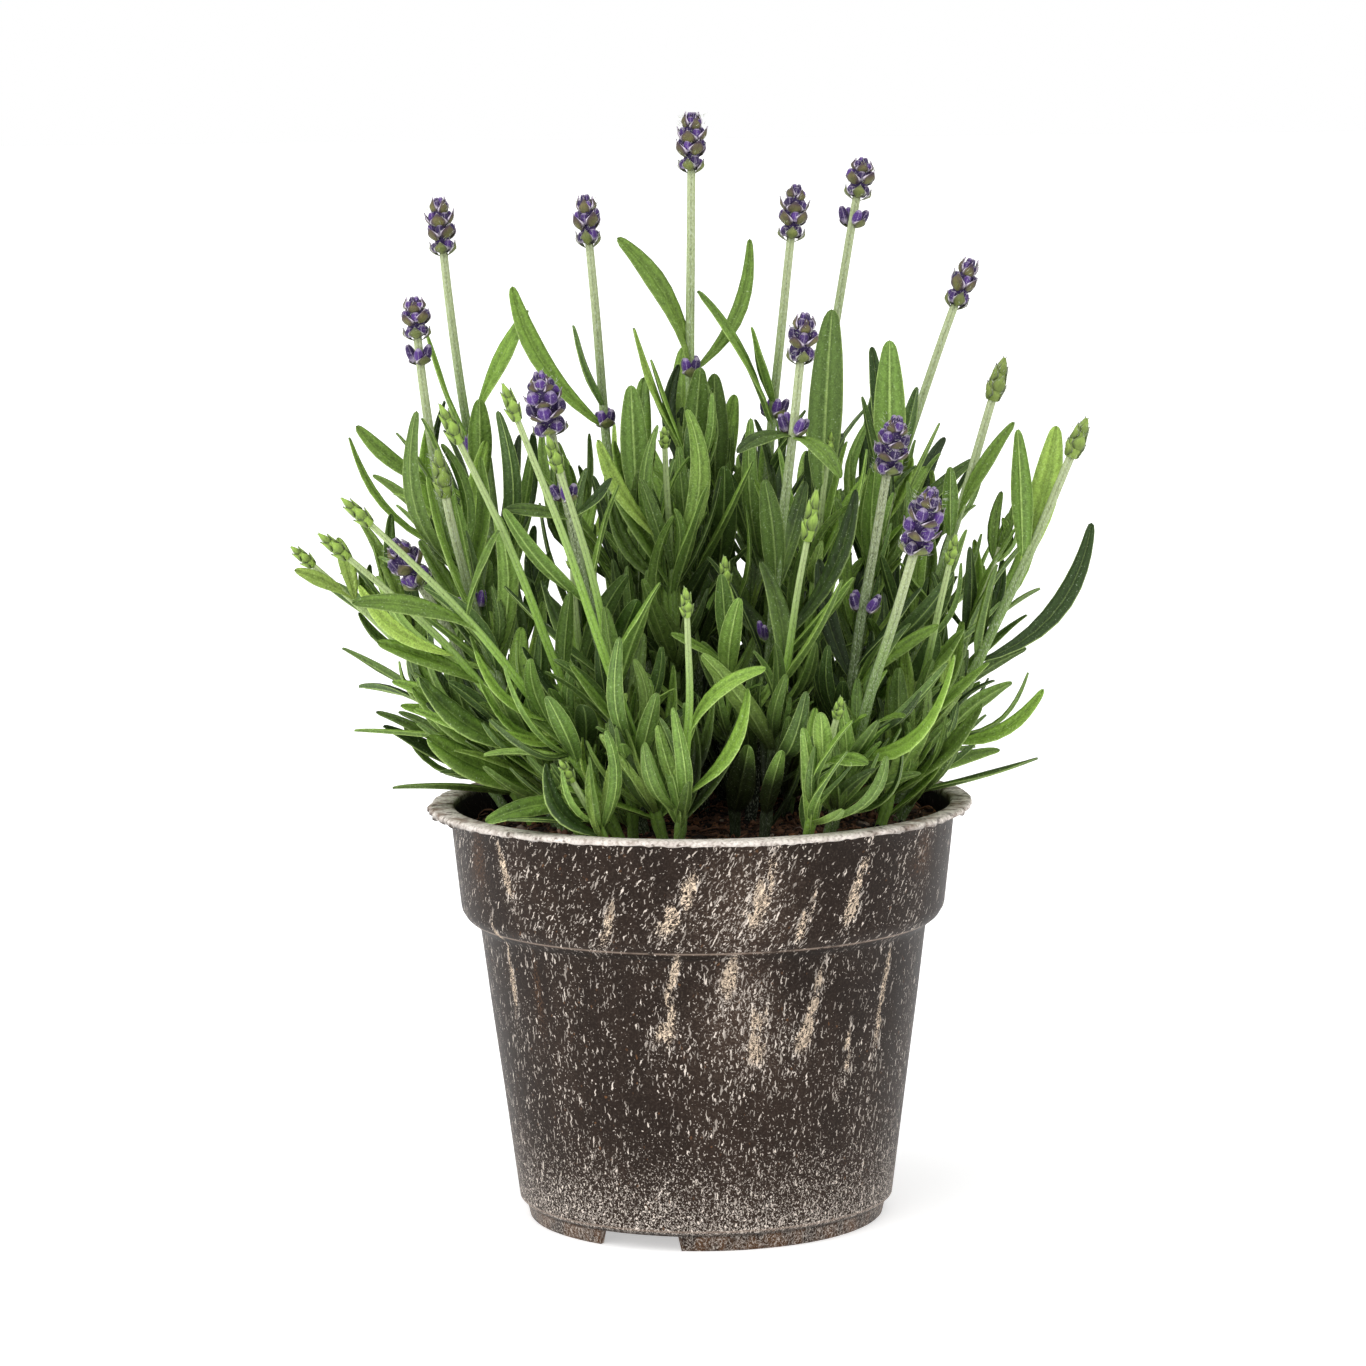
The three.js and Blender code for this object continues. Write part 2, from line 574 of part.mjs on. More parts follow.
function headRoom(curve, length, radius, owner) {
  const points = [];
  const end = curve.getPoint(1);
  const axis = curve.getTangent(1);
  const [first, second] = across(axis);
  for (let along = 0; along <= length + 1; along += ROOM_STEP) {
    for (let i = 0; i < HEAD_ROOM_SIDES; i += 1) {
      const angle = (2 * Math.PI * i) / HEAD_ROOM_SIDES;
      const point = end.clone().addScaledVector(axis, along);
      point.addScaledVector(first, radius * Math.cos(angle)).addScaledVector(second, radius * Math.sin(angle));
      points.push({ point, radius: HEAD_ROOM_RADIUS, owner, nearRoot: false });
    }
  }
  return points;
}

// Spindle along an axis, such as the core of a head or a bud
function spindle(base, axis, profile, sides) {
  const geometry = turned(profile, sides);
  const turn = new THREE.Quaternion().setFromUnitVectors(vector(0, 0, 1), axis);
  geometry.applyQuaternion(turn);
  geometry.translate(base.x, base.y, base.z);
  return solidOf(geometry);
}

// Flower head along an axis: whorls of pods over broad bracts, raised from a slim spindle by a formula. Each whorl
// swells towards its upper edge and steps back in above it, and each is turned by half a pod from the one below.
function podRelief(base, axis, spin, { length, whorls, pods, radius }) {
  const rows = [];
  const step = length / (whorls + 0.35);
  for (let i = 0; i < whorls; i += 1) {
    const size = radius * [0.94, 1, 0.84][i % 3];
    const shift = (i * Math.PI) / pods;
    rows.push({ z: step * i, reach: (i ? 0.6 : 0.34) * size, lobe: 0, shift });
    rows.push({ z: step * (i + 0.58), reach: 0.98 * size, lobe: 0.14, shift });
    rows.push({ z: step * (i + 1.06), reach: 0.84 * size, lobe: 0.36, shift });
  }
  rows.push({ z: length - 0.4, reach: 0.42 * radius, lobe: 0, shift: 0 });
  const geometry = turned([[0, 0], ...rows.map((row, i) => [1, i + 1]), [0, rows.length + 1]], 2 * pods);
  const position = geometry.getAttribute("position");
  for (let i = 0; i < position.count; i += 1) {
    const [x, y, level] = [position.getX(i), position.getY(i), Math.round(position.getZ(i))];
    const row = rows[level - 1];
    if (!row) {
      position.setXYZ(i, 0, 0, level ? length : 0);
      continue;
    }
    const angle = Math.atan2(y, x);
    const reach = row.reach * (1 + row.lobe * (Math.cos(pods * (angle + row.shift)) - 0.4));
    position.setXYZ(i, reach * Math.cos(angle + spin), reach * Math.sin(angle + spin), row.z);
  }
  geometry.applyQuaternion(new THREE.Quaternion().setFromUnitVectors(vector(0, 0, 1), axis));
  geometry.translate(base.x, base.y, base.z);
  return solidOf(geometry);
}

function flowerHead({ curve, number, head }) {
  const [length, radius] = head;
  const axis = curve.getTangent(1);
  const base = curve.getPoint(1).addScaledVector(axis, HEAD_GAP);
  const spin = Math.PI * seeded(900 + number)();
  return podRelief(base, axis, spin, { length, radius, whorls: HEAD_WHORLS, pods: 5 });
}

function bud(curve, length) {
  const axis = curve.getTangent(1);
  const base = curve.getPoint(1).addScaledVector(axis, -1);
  const radius = 0.3 * length + 0.3;
  const profile = [[0, 0], [0.9, 0], [radius, length * 0.36], [radius * 0.8, length * 0.66], [0, length + 1]];
  return spindle(base, axis, profile, 6);
}

// Pairs of leaves up a stem, each pair turned a quarter from the last, with seeded lengths and angles
function pairHeights(leafTop) {
  const heights = [];
  let z = FIRST_PAIR_Z;
  let spacing = FIRST_PAIR_SPACING;
  while (z <= leafTop) {
    heights.push(z);
    z += spacing;
    spacing += PAIR_SPACING_GROWTH;
  }
  return heights;
}

const TURNS = [0, 14, -14, 28, -28, 42, -42];
const TILTS = [0, 9, -9, 18];
const SHORTENINGS = [1, 0.8, 0.62];

function growLeaf(stem, level, side, rank) {
  const draw = seeded(stem.number * 1000 + level * 10 + side);
  const z = stem.heights[level] + 2 * draw();
  const share = Math.min(1, (z - FIRST_PAIR_Z) / (LEAF_TALL_Z - FIRST_PAIR_Z));
  const azimuth = stem.spin + level * 90 + side * 180 + LEAF_TURN_SPREAD * (draw() - 0.5);
  const tilt = lerp(LEAF_TILT.low, LEAF_TILT.high, share) + LEAF_TILT.spread * (draw() - 0.5);
  const drawnLength = lerp(LEAF_LENGTH.low, LEAF_LENGTH.high, share) + LEAF_LENGTH.spread * (draw() - 0.5);
  const fullLength = rank === 0 ? drawnLength - LEAF_LENGTH.topLess : drawnLength;
  const width = fullLength * (LEAF_SLIMNESS.least + LEAF_SLIMNESS.spread * draw());
  const arch = lerp(LEAF_ARCH.least, LEAF_ARCH.most, draw());
  const sweep = LEAF_SWEEP_SPREAD * (draw() - 0.5);
  const roll = radians(LEAF_ROLL_SPREAD * (draw() - 0.5));
  const t = stemAt(stem.curve, z);
  const axis = stem.curve.getTangent(t);
  const [first, second] = across(axis);
  const middle = stem.curve.getPoint(t);
  for (const shortening of SHORTENINGS) {
    for (const extraTilt of TILTS) {
      for (const extraTurn of TURNS) {
        const angle = radians(azimuth + extraTurn);
        const lean = radians(tilt + extraTilt);
        const length = fullLength * shortening;
        const out = first.clone().multiplyScalar(Math.cos(angle)).addScaledVector(second, Math.sin(angle));
        const aim = axis.clone().multiplyScalar(Math.cos(lean)).addScaledVector(out, Math.sin(lean));
        const root = middle.clone().addScaledVector(out, -ROOT_DEPTH);
        const leaf = leafFrame(root, root.clone().addScaledVector(aim, length), arch, sweep, roll);
        const room = bladeRoom(leaf, width * shortening, stem.name);
        if (isFree(room)) return { leaf, width: width * shortening, room, shares: SHORT_STATIONS };
      }
    }
  }
  return null;
}

function placeLeaf(stem, [, z, tip, width, arch, turn]) {
  const root = stem.curve.getPoint(stemAt(stem.curve, z));
  const out = vector(tip[0] - root.x, tip[1] - root.y, 0).normalize();
  root.addScaledVector(out, -ROOT_DEPTH);
  const leaf = leafFrame(root, vector(...tip), arch, 0, 0);
  leaf.roll = radians(turn) * leaf.side.y;
  return { leaf, width, room: bladeRoom(leaf, width, stem.name), shares: LONG_STATIONS };
}

function listStems() {
  const kinds = [["flowering", FLOWERING], ["budding", BUDDING], ["leafy", LEAFY]];
  const stems = [];
  for (const [kind, rows] of kinds) {
    rows.forEach((row, i) => {
      const label = String(i + 1).padStart(2, "0");
      const name = `${kind}_${label}`;
      const number = stems.length + 1;
      const spin = 360 * seeded(number)();
      const heights = pairHeights(row.leafTop);
      stems.push({ ...row, kind, label, name, number, spin, heights, curve: stemCurve(row), leaves: [] });
    });
  }
  return stems;
}

function growPlant() {
  const stems = listStems();
  for (const stem of stems) {
    take(stemRoom(stem.curve, stem.name));
    if (stem.kind === "flowering") take(headRoom(stem.curve, ...stem.head, `${stem.name}_head`));
    if (stem.kind === "budding") take(headRoom(stem.curve, stem.bud, stem.bud / 5, stem.name));
  }
  for (const row of PLACED_LEAVES) {
    const stem = stems.find((one) => one.name === row[0]);
    const grown = placeLeaf(stem, row);
    take(grown.room);
    stem.leaves.push(grown);
  }
  const levels = Math.max(...stems.map((stem) => stem.heights.length));
  for (let rank = 0; rank < levels; rank += 1) {
    for (const stem of stems) {
      const level = stem.heights.length - 1 - rank;
      if (level < 0) continue;
      for (const side of [0, 1]) {
        const grown = growLeaf(stem, level, side, rank);
        if (!grown) continue;
        take(grown.room);
        stem.leaves.push(grown);
      }
    }
  }
  return stems;
}

function stemSolid(stem) {
  const parts = [stemRod(stem.curve)];
  for (const { leaf, width, shares } of stem.leaves) parts.push(blade(leaf, width, shares));
  if (stem.kind === "budding") parts.push(bud(stem.curve, stem.bud));
  if (stem.whorl) {
    const t = stemAt(stem.curve, stem.whorl);
    const size = { length: WHORL_LENGTH, whorls: 1, pods: 3, radius: WHORL_RADIUS };
    parts.push(podRelief(stem.curve.getPoint(t), stem.curve.getTangent(t), radians(stem.spin), size));
  }
  return wasm.Manifold.union(parts);
}

const plant = new THREE.Group();
const stems = growPlant();
let bed = soil();
for (const stem of stems) bed = bed.subtract(stemHole(stem.curve));
plant.add(meshOf("pot", pot(), DARK_SHELL));
plant.add(meshOf("soil", bed, EARTH));
for (const stem of stems) {
  plant.add(meshOf(`${stem.name}_stem`, stemSolid(stem), GREEN));
  if (stem.kind === "flowering") plant.add(meshOf(`flower_head_${stem.label}`, flowerHead(stem), VIOLET));
}

export default plant;
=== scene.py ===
"""Looks of a potted English lavender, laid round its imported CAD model.

The sidebar's panel has a button for each group of pieces. Sizes of the plant and the pot are in
millimetres, as in the part's source, and turn to metres where a mesh takes its places.
"""

import functools
import itertools
import math
import random

import bmesh
import bpy
from bpy.props import FloatProperty, FloatVectorProperty, IntProperty, PointerProperty
from mathutils import Matrix, Vector, noise


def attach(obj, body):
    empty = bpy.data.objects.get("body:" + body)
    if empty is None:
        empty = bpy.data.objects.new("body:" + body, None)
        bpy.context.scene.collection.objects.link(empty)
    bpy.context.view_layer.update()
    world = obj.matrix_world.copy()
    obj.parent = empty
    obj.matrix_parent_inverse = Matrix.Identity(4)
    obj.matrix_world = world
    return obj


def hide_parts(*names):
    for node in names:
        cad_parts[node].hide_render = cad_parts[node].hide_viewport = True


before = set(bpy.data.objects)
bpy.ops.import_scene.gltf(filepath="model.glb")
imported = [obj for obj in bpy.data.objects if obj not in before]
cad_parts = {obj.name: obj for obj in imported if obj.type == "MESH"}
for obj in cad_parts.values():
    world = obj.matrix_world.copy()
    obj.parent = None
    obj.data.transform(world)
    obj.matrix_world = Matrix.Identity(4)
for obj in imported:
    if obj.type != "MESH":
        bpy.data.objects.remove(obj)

bl_info = {
    "name": "Potted lavender",
    "version": (1, 0, 0),
    "blender": (4, 5, 0),
    "location": "View3D > Sidebar > Lavender",
    "description": "Models the looks of a lavender in a flecked nursery pot",
    "category": "Add Mesh",
}

MM = 0.001

# Pot
POT_HEIGHT = 101
RIM_RADIUS = 65
RIM_THICKNESS = 1.2
RIM_INNER_RADIUS = 59.8
COLLAR_TOP_RADIUS = 60.9
COLLAR_FOOT = (58.4, 76.6)
COLLAR_CORNER = (56.6, 73.3)
WALL_TOP = (54, 71.6)
WALL_FOOT = (45.3, 5)
FOOT_RADIUS = 42.9
FOOT_RING_WIDTH = 1.6
FLOOR_UNDERSIDE = 4.4
FLOOR_THICKNESS = 1.4
WALL_THICKNESS = 1.3
POT_STEPS = 360
POT_ROW = 4.5
NOTCH_MIDDLES = (-112, 8, 128)
NOTCH_ANGLE = 27
NOTCH_HEIGHT = 3.6
DRAIN_HOLE_RADIUS = 4
DRAIN_HOLE_SIDES = 32
DRAIN_RING_RADIUS = 28

# Flash that the moulding left on the rim: where it is thickest, and how far it spreads, in degrees
FLASH_MIDDLE = 192
FLASH_SPREAD = 26

# Soil
SOIL_LEVEL = 94.5
SOIL_MOUND = 2.6
SOIL_SLOPE = 0.018
SOIL_CRUMB = 0.8
SOIL_EDGE_GAP = 1.4
SOIL_STEPS = 150
SOIL_ROW = 1.3

# Crumbs, bark chips and fibres on the soil. Pairs in brackets are the least and the most
LITTER_SEED = 11
LITTER_EDGE_GAP = 4.2
CRUMB_COUNT = 2600
CRUMB_SIZES = (0.35, 1.5)
CRUMB_FLATNESS = (0.35, 0.7)
CRUMB_HEIGHTS = (0.5, 0.9)
CRUMB_TIPPING = 0.6
CRUMB_DENT = 0.18
CHIP_COUNT = 90
CHIP_SIZES = (1.2, 2.8)
CHIP_HEIGHT = 0.25
FIBRE_COUNT = 420
FIBRE_ROWS, FIBRE_SIDES = 5, 4
FIBRE_LENGTHS = (2.5, 9)
FIBRE_RADII = (0.1, 0.28)
FIBRE_LIFTS = (0.2, 1.8)
FIBRE_CURL = 1.6

# Random draws, as the part's source makes them
SEED_FACTOR = 2654435761
DRAW_FACTOR = 1664525
DRAW_STEP = 1013904223
DRAW_RANGE = 2**32

# Stems, leaves and heads
ROOT_Z = 84
STEM_SIDE_FOOT = 2.7
STEM_SIDE_END = 1.9
BLADE_THICKNESS = 1.5
BLADE_RISE = 0.6
BLADE_CLEARANCE = 1.9
ROOT_DEPTH = 0.4
FIRST_PAIR_Z = 101
FIRST_PAIR_SPACING = 14
PAIR_SPACING_GROWTH = 2.8
PAIR_HEIGHT_SPREAD = 2
LEAF_TALL_Z = 161
LEAF_UPRIGHT = 0.05
LEAF_TILT_LOW, LEAF_TILT_HIGH, LEAF_TILT_SPREAD = 46, 26, 14
LEAF_LENGTH_LOW, LEAF_LENGTH_HIGH, LEAF_LENGTH_SPREAD = 29, 37, 9
TOP_LEAF_LESS = 4
LEAF_SLIMNESS_LEAST, LEAF_SLIMNESS_SPREAD = 0.16, 0.06
LEAF_ARCH_LEAST, LEAF_ARCH_MOST = -0.1, 0.08
LEAF_ROLL_SPREAD = 80
LEAF_TURN_SPREAD = 24
LEAF_SWEEP_SPREAD = 0.1
LEAF_SHORTENINGS = (1, 0.8, 0.62)
LEAF_MORE_TILTS = (0, 9, -9, 18)
LEAF_MORE_TURNS = (0, 14, -14, 28, -28, 42, -42)
LEAF_ROLL_AT_ROOT = 0.3
STEM_SEED_STEP = 1000
PAIR_SEED_STEP = 10
WHORL_LENGTH = 4.4
WHORL_RADIUS = 3.4
HEAD_GAP = 0.3
GREEN_BUD_SLIMNESS = 5

# Small leaves between the pairs. Pairs in brackets are the least and the most
SMALL_LEAF_SEED = 500000
SMALL_LEAF_TRIES = 6
SMALL_LEAF_CLEARANCE = 0.9
SMALL_LEAF_RISES = (0, 7)
SMALL_LEAF_TURN_SPREAD = 110
SMALL_LEAF_WIDTHS = (1.6, 2.4)
SMALL_LEAF_WIDENING = 0.075
SMALL_LEAF_SHORTNESS = 1.2
SMALL_LEAF_ARCHES = (-0.24, 0.14)
SMALL_LEAF_SWEEP_SPREAD = 0.26
SMALL_LEAF_ROLL_SPREAD = 1.8
TUFT_SEED_STEP = 20
LOW_TUFT_Z = 97
LOW_TUFTS_TO_Z = 118

# Tilts from the stem, and lengths, of the leaves of a low tuft, a high one and the one at a shoot's tip
LOW_TUFT = ((10, 50), (11, 32))
HIGH_TUFT = ((7, 38), (13, 42))
TIP_TUFT = ((4, 24), (11, 20))
TIP_TUFT_SEED = 900
TIP_TUFT_LEAVES = 6
TIP_TUFT_DEPTH = 8

# Where no small leaf grows: high at the front, in the dark gap between the front stems, low over the soil
# that shows, and out of the bush
BARE_FROM_Z = 122
BARE_BEFORE_Y = -14
HOLLOW_LEFT, HOLLOW_RIGHT, HOLLOW_TOP = -9, 23, 127
SHOWN_SOIL_FROM, SHOWN_SOIL_TO_Z = 40, 116
LEFTMOST, HINDMOST = -98, 73

# Width of the dressed blades against the CAD blades
LEAF_FULLNESS = 1.02
PLACED_LEAF_FULLNESS = 1.36

# Section of a dressed blade
BLADE_ROWS, BLADE_SIDES = 12, 14
SMALL_ROWS, SMALL_SIDES = 8, 8
SMALL_LEAF_FINE = 22
BLADE_THIN = 0.6
BLADE_FOLD = 0.1
BLADE_BULGE = 0.16
BLADE_WAVE = 0.06
BLADE_EDGE_ROLL = 0.3
RIB_HALF_SHARE = 0.12
RIB_GROOVE = 0.16
RIB_KEEL = 0.35
TIP_BLUNTNESS = 1.2

# Stalks
STALK_SIDES = 12
STALK_SHARE = 1.04
STALK_END_SHARE = {"flowering": 1, "budding": 0.66, "leafy": 0.55}
STALK_ROW = 2.6
STALK_SQUARENESS = 5
STALK_WAVER = 0.25
STALK_WAVES = 13
NODE_SWELLING = 0.28
NODE_REACH = 1.7

# How fresh the growth of each kind of stem is, and how far above the first pair a leaf is at its youngest
SHOOT_SEED = 700
FRESHNESS = {"flowering": 0.3, "budding": 0.7, "leafy": 0.3}
YOUTH_REACH = 90
OLD_STALKS = ("flowering_05", "flowering_10", "flowering_12")

# Bracts, scales and buds
BRACT_ROWS, BRACT_SIDES = 7, 8
BRACT_THICKNESS = 0.3
BRACT_LEAST_START = 0.8
BRACT_START_SHARE = 0.45
SCALE_HALF_ANGLE = 1.05
SCALE_THICKNESS = 0.2
SCALE_TIERS = 4
SCALE_LENGTH_SHARE = 0.4
FIRST_SCALE_TURN = 0.4
BUD_ROWS, BUD_SIDES = 6, 8
BUD_RIBS = 4
BUD_RIB_RELIEF = 0.08
CORE_ROWS, CORE_SIDES = 6, 8

# White hairs of a head. The mark is what a hair keeps in place of how far along it is
HAIRS_PER_MM = 7
HAIR_LENGTH = 0.7
HAIR_WIDTH = 0.07
HAIR_REACH = 0.9
HAIR_ROOTS = (0.72, 0.98)
HAIR_MARK = 2

# How far the buds of the heads 1 to 15 stand out of their bracts, and how young the bracts are
HEAD_OPENNESS = (0.25, 0.3, 0.2, 0.25, 0.9, 0.4, 0.35, 0.45, 0.2, 0.68, 0.78, 0.6, 0, 0, 0)
HEAD_YOUTH = (0.15, 0.1, 0.2, 0.1, 0, 0.1, 0.2, 0, 0.2, 0, 0.2, 0, 0.62, 0.7, 0.7)
HEAD_SEED = 900
HEAD_SUNK = 0.5
OPEN_LONGER = 0.5
CLOSED_YOUTH = 0.55
CLOSED_SHARE = 0.72
CLOSED_LONGER = 0.8

# Green buds of the budding stems
GREEN_BUD_SUNK = 0.6
GREEN_BUD_LONGER = 1.2
GREEN_BUD_WIDENING = 0.09
GREEN_BUD_LEAST_RADIUS = 0.72

# Tiers of an open head: reach of each as a share of the head's radius, in heads of 3 and of 4 tiers, how
# far their bracts close, and the lowest tier, which is a shallow cup
TALL_HEAD = 13
TIER_SHARES = {3: (0.92, 1, 0.76), 4: (0.88, 1, 0.95, 0.72)}
TIER_CLOSING = 0.07
TOP_TIER_CLOSING = 0.5
CUP_DEPTH = 0.7
CUP_YOUTH = 0.5
CUP_OPENNESS = 0.5
CUP_CLOSING = 0.2
CUP_START_SHARE = 0.2

# Bracts and buds of a tier: least and most, as shares of the tier's height and reach
BRACT_LENGTHS = (1.3, 1.55)
BRACT_REACHES = (0.93, 1.04)
BUD_LENGTHS = (0.8, 1.0)
BUD_TURNS = (-0.15, 0.15)
BUD_OUT = 0.56
UPPER_PAIR_RISE = 0.16

# The same bracts and buds on a closed head and on an open one
BRACT_LENGTH_SHARES = (1, 0.6)
BRACT_HALF_ANGLES = (0.9, 0.56)
BUD_LENGTH_SHARES = (0.9, 1.12)
BUD_RADIUS_SHARES = (0.26, 0.36)
BUD_FEET = (0.5, 0.22)
BUD_LEANINGS = (0.12, 0.32)

# Bracts and buds that close an open head in a dome, as shares of a tier's height and the head's radius
DOME_SINK = 0.45
DOME_LENGTH = 0.95
DOME_CLOSING = 0.8
DOME_BRACT_SINK = 0.1
DOME_BRACT_REACH = 0.5
DOME_BRACT_HALF_ANGLE = 0.85
DOME_BUD_TURN = 0.8
DOME_BUD_OUT = 0.16
DOME_BUD_RADIUS = 0.18
DOME_BUD_LEANING = 0.06

# Whorls apart from the heads
WHORL_YOUTH = 0.45
WHORL_HALF_ANGLE = 0.8
WHORL_BRACT_LENGTH = 0.62
WHORL_BRACT_FOOT = -0.6
WHORL_BUD_FOOT = 0.3
WHORL_BUD_OUT = 1.6
WHORL_BUD_LENGTHS = (0.8, 1.05)
WHORL_BUD_RADIUS = 1.1
WHORL_BUD_TURN = 0.45
WHORL_BUD_LEANING = 0.46

# Pairs of small buds low on a stalk, where a pair of leaves leaves it: height and turn
AXIL_BUDS = {"flowering_05": (123, 0.2), "flowering_08": (142, 0), "flowering_11": (113, 0.4)}
AXIL_BUD_LENGTHS = (3.2, 4.2)
AXIL_BUD_RADIUS = 0.85
AXIL_BUD_TURN = 0.9
AXIL_BUD_OUT = 1.9
AXIL_BUD_LEANING = 0.3

# Finishes of shoots and heads, in the order of their material slots
LEAF, STALK, BRACT, VIOLET = range(4)

# What a spot of a piece keeps for its finish: how far across and along it is, whether it is on the
# underside, how young its growth is, and a number that sets its leaf or bud apart
MARKS = ("across", "along", "under", "young", "dice")

# Pale streaks in the wall, where fibres lie close together: turn from the front, height, reach up, reach
# sideways, lean. Sizes are in millimetres, and turns in degrees to the right.
STREAKS = [
    (-8, 66, 8, 1.5, 0.25), (-9.5, 56, 6, 2.3, 0.3), (6.5, 68, 6, 1.9, 0.2), (14, 55, 9, 2.5, 0.05),
    (30, 63, 8, 1.5, 0.22), (27.5, 54, 6, 2.2, 0.3), (-5, 86, 8, 2.7, 0.5), (13, 88, 9, 2.4, 0.3),
    (37, 87, 9, 1.8, 0.3), (41, 46, 6, 1.5, 0.1), (54, 60, 13, 1.3, 0.1),
    (-59, 66, 12, 1.3, 0.05), (-22, 81, 6, 1.3, 0.3), (24, 82, 6, 1.3, 0.3), (-51, 91, 7, 1.3, -0.2),
    (110, 60, 12, 2.2, 0.2), (165, 56, 13, 2.6, 0.1), (-120, 62, 12, 2.1, 0.2), (-160, 84, 9, 2, 0.2),
]

# Broad pale clouds behind the streaks, in the same terms
CLOUDS = [(9, 86, 13, 12, 0.3), (8, 60, 14, 11, 0.05), (140, 70, 16, 14, 0.1)]

# Rusty patches, two on the collar and one on the wall under it, in the same terms
RUSTY = [(-62, 92, 8, 3, 0.2), (60, 93, 5, 3, 0.1), (-48, 62, 9, 1.2, 0)]

# Side of the square that holds one fleck, before it is drawn out
FLECK_CELL = 2.4

# Grain of the finishes, in patterns a metre
LEAF_GRAIN, LEAF_MOTTLE, LEAF_PATCH = 2300, 600, 150
STALK_GRAIN, STALK_PATCH = 4200, 110
BRACT_GRAIN, BRACT_PATCH = 2600, 450
BUD_GRAIN = 2800
SHELL_CLOUD, SHELL_FINE_CLOUD, SHELL_DUST = 50, 260, 1900
RIM_GRAIN, RIM_STAIN, RIM_BLOT = 1200, 240, 500
SOIL_GRAIN, SOIL_PATCH = 700, 130
CRUMB_GRAIN = 1400

# Height of the relief in the finishes, in metres
FINE_RELIEF = 0.0002
LEAF_RELIEF = 0.00025
SOIL_RELIEF = 0.0008
CRUMB_RELIEF = 0.0003

# Places that little light reaches: the inside of the bush, and the gap at its front. Pairs are where the
# shade is full and where it ends, and for the front of the gap the other way round
BUSH_OUT = (10, 46)
BUSH_UP = (120, 200)
BUSH_DARKNESS = 0.57
SHADE_MIDDLE = 8
SHADE_ASIDE = (11, 19)
SHADE_UP = (114, 134)
SHADE_FRONT = (-53, -45)
SHADE_DARKNESS = 0.9

# Camera: fitted to the pot's ellipses in the photograph's frame
IMAGE_SIDE = 1366
CAMERA_Y = -1.148
CAMERA_Z = 0.275
CAMERA_PITCH = 7.228
CAMERA_ROLL = -0.626
CAMERA_YAW = 0.2146
CAMERA_SEES_TO = 20
FOCAL_PIXELS = 4808.7
SENSOR = 36.0

# Softboxes of the studio, far away: direction, and how tight the light is about it
KEY = ((-0.62, -0.55, 0.56), 5)
SIDE = ((0.85, -0.35, 0.4), 7)
TOP = ((0.1, -0.1, 1), 4)

# Flowering stems: foot, end, bow of the middle, height that the leaf pairs reach, height of a whorl
# apart from the head (0 where there is none), and the head's length and radius
FLOWERING = [
    ((1, 5), (-1, 12, 252), (-1.5, 0), 176, 203, (13.4, 3.8)),
    ((-14, 12), (-26, 25, 234), (0, 0), 168, 190, (11.8, 3.5)),
    ((-26, 16), (-62, 35, 232), (-6, 3), 165, 183, (13.2, 3.8)),
    ((-30, 8), (-67, 5, 213), (-7, 0), 155, 206.8, (9.4, 3.8)),
    ((-11, -18), (-34, -38, 193), (-0.5, 1), 160, 177, (14.4, 4.7)),
    ((12, 10), (23, 25, 235), (-2, 0), 160, 192, (12.8, 3.8)),
    ((17, 20), (39.5, 38, 244.5), (-2, 0), 168, 237.5, (9.4, 3.8)),
    ((10, -10), (24, -25, 208), (0, 0), 172, 191, (11.2, 3.7)),
    ((27, 15), (63, 30, 218), (-4, 0), 165, 0, (11.8, 3.4)),
    ((30, -13), (44, -28, 182), (-1, 0), 140, 149, (13.4, 4.3)),
    ((26, -28), (49, -55, 166), (0, 0), 124, 0, (16, 4.5)),
    ((-29, -4), (-67, -2, 154), (1, 0), 128, 0, (12.5, 4.5)),
    ((37, 6), (71, 12, 196), (0, 0), 146, 0, (10, 2.9)),
    ((41, -4), (89, 0, 183), (1.5, 0), 128, 0, (9.4, 2.9)),
    ((-27, -11), (-60, -12, 176), (-4, 0), 142, 149, (10.8, 2.7)),
]

# Budding stems: foot, end, bow, height of the leaf pairs, length of the bud
BUDDING = [
    ((-20, -21), (-55, -48, 192), (4, -1), 130, 9),
    ((-6, -31), (-41, -62, 198), (2, -3), 128, 8),
    ((-16, -27), (-32, -47, 185), (4, 0), 118, 8),
    ((-14, -36), (-76, -45, 173), (8, 0), 120, 8),
    ((-25, -19), (-83, -22, 163), (9, 0), 128, 8),
    ((-36, 2), (-93, 0, 159), (7, 0), 128, 6),
    ((-4, -4), (-8, -5, 187), (0, 0), 158, 4),
    ((-8, -43), (-3, -62, 153), (2, 1), 112, 6),
    ((8, -24), (6, -35, 157), (0, 0), 132, 6),
    ((19, 1), (31, 2, 184), (0, 0), 156, 5),
    ((21, -41), (31, -60, 129), (0, 0), 104, 4.5),
    ((38, -19), (59, -20, 160), (1, 0), 130, 6),
    ((13, -33), (25, -41, 168), (-1, 0), 140, 11),
    ((-22, -14), (-30, -20, 160), (-1, 0), 138, 4),
    ((-17, -44), (-30, -53, 114), (1, 0), 84, 5),
]

# Leafy shoots: foot, end, bow, height of the leaf pairs
LEAFY = [
    ((26, 7), (47, 10, 174), (0, 0), 166),
    ((-11, 4), (-15, 9, 172), (0, 0), 165),
    ((5, 17), (4, 20, 176), (0, 0), 168),
    ((-34, 22), (-60, 45, 158), (-2, 3), 152),
    ((-21, 30), (-33, 54, 164), (0, 2), 156),
    ((-6, 33), (-6, 57, 170), (0, 2), 160),
    ((9, 30), (14, 45, 180), (0, 2), 168),
    ((20, 37), (31, 58, 163), (0, 2), 155),
    ((33, 27), (56, 45, 162), (0, 3), 154),
    ((41, 15), (74, 34, 158), (2, 2), 150),
    ((-40, 12), (-78, 28, 148), (-1, 2), 142),
]

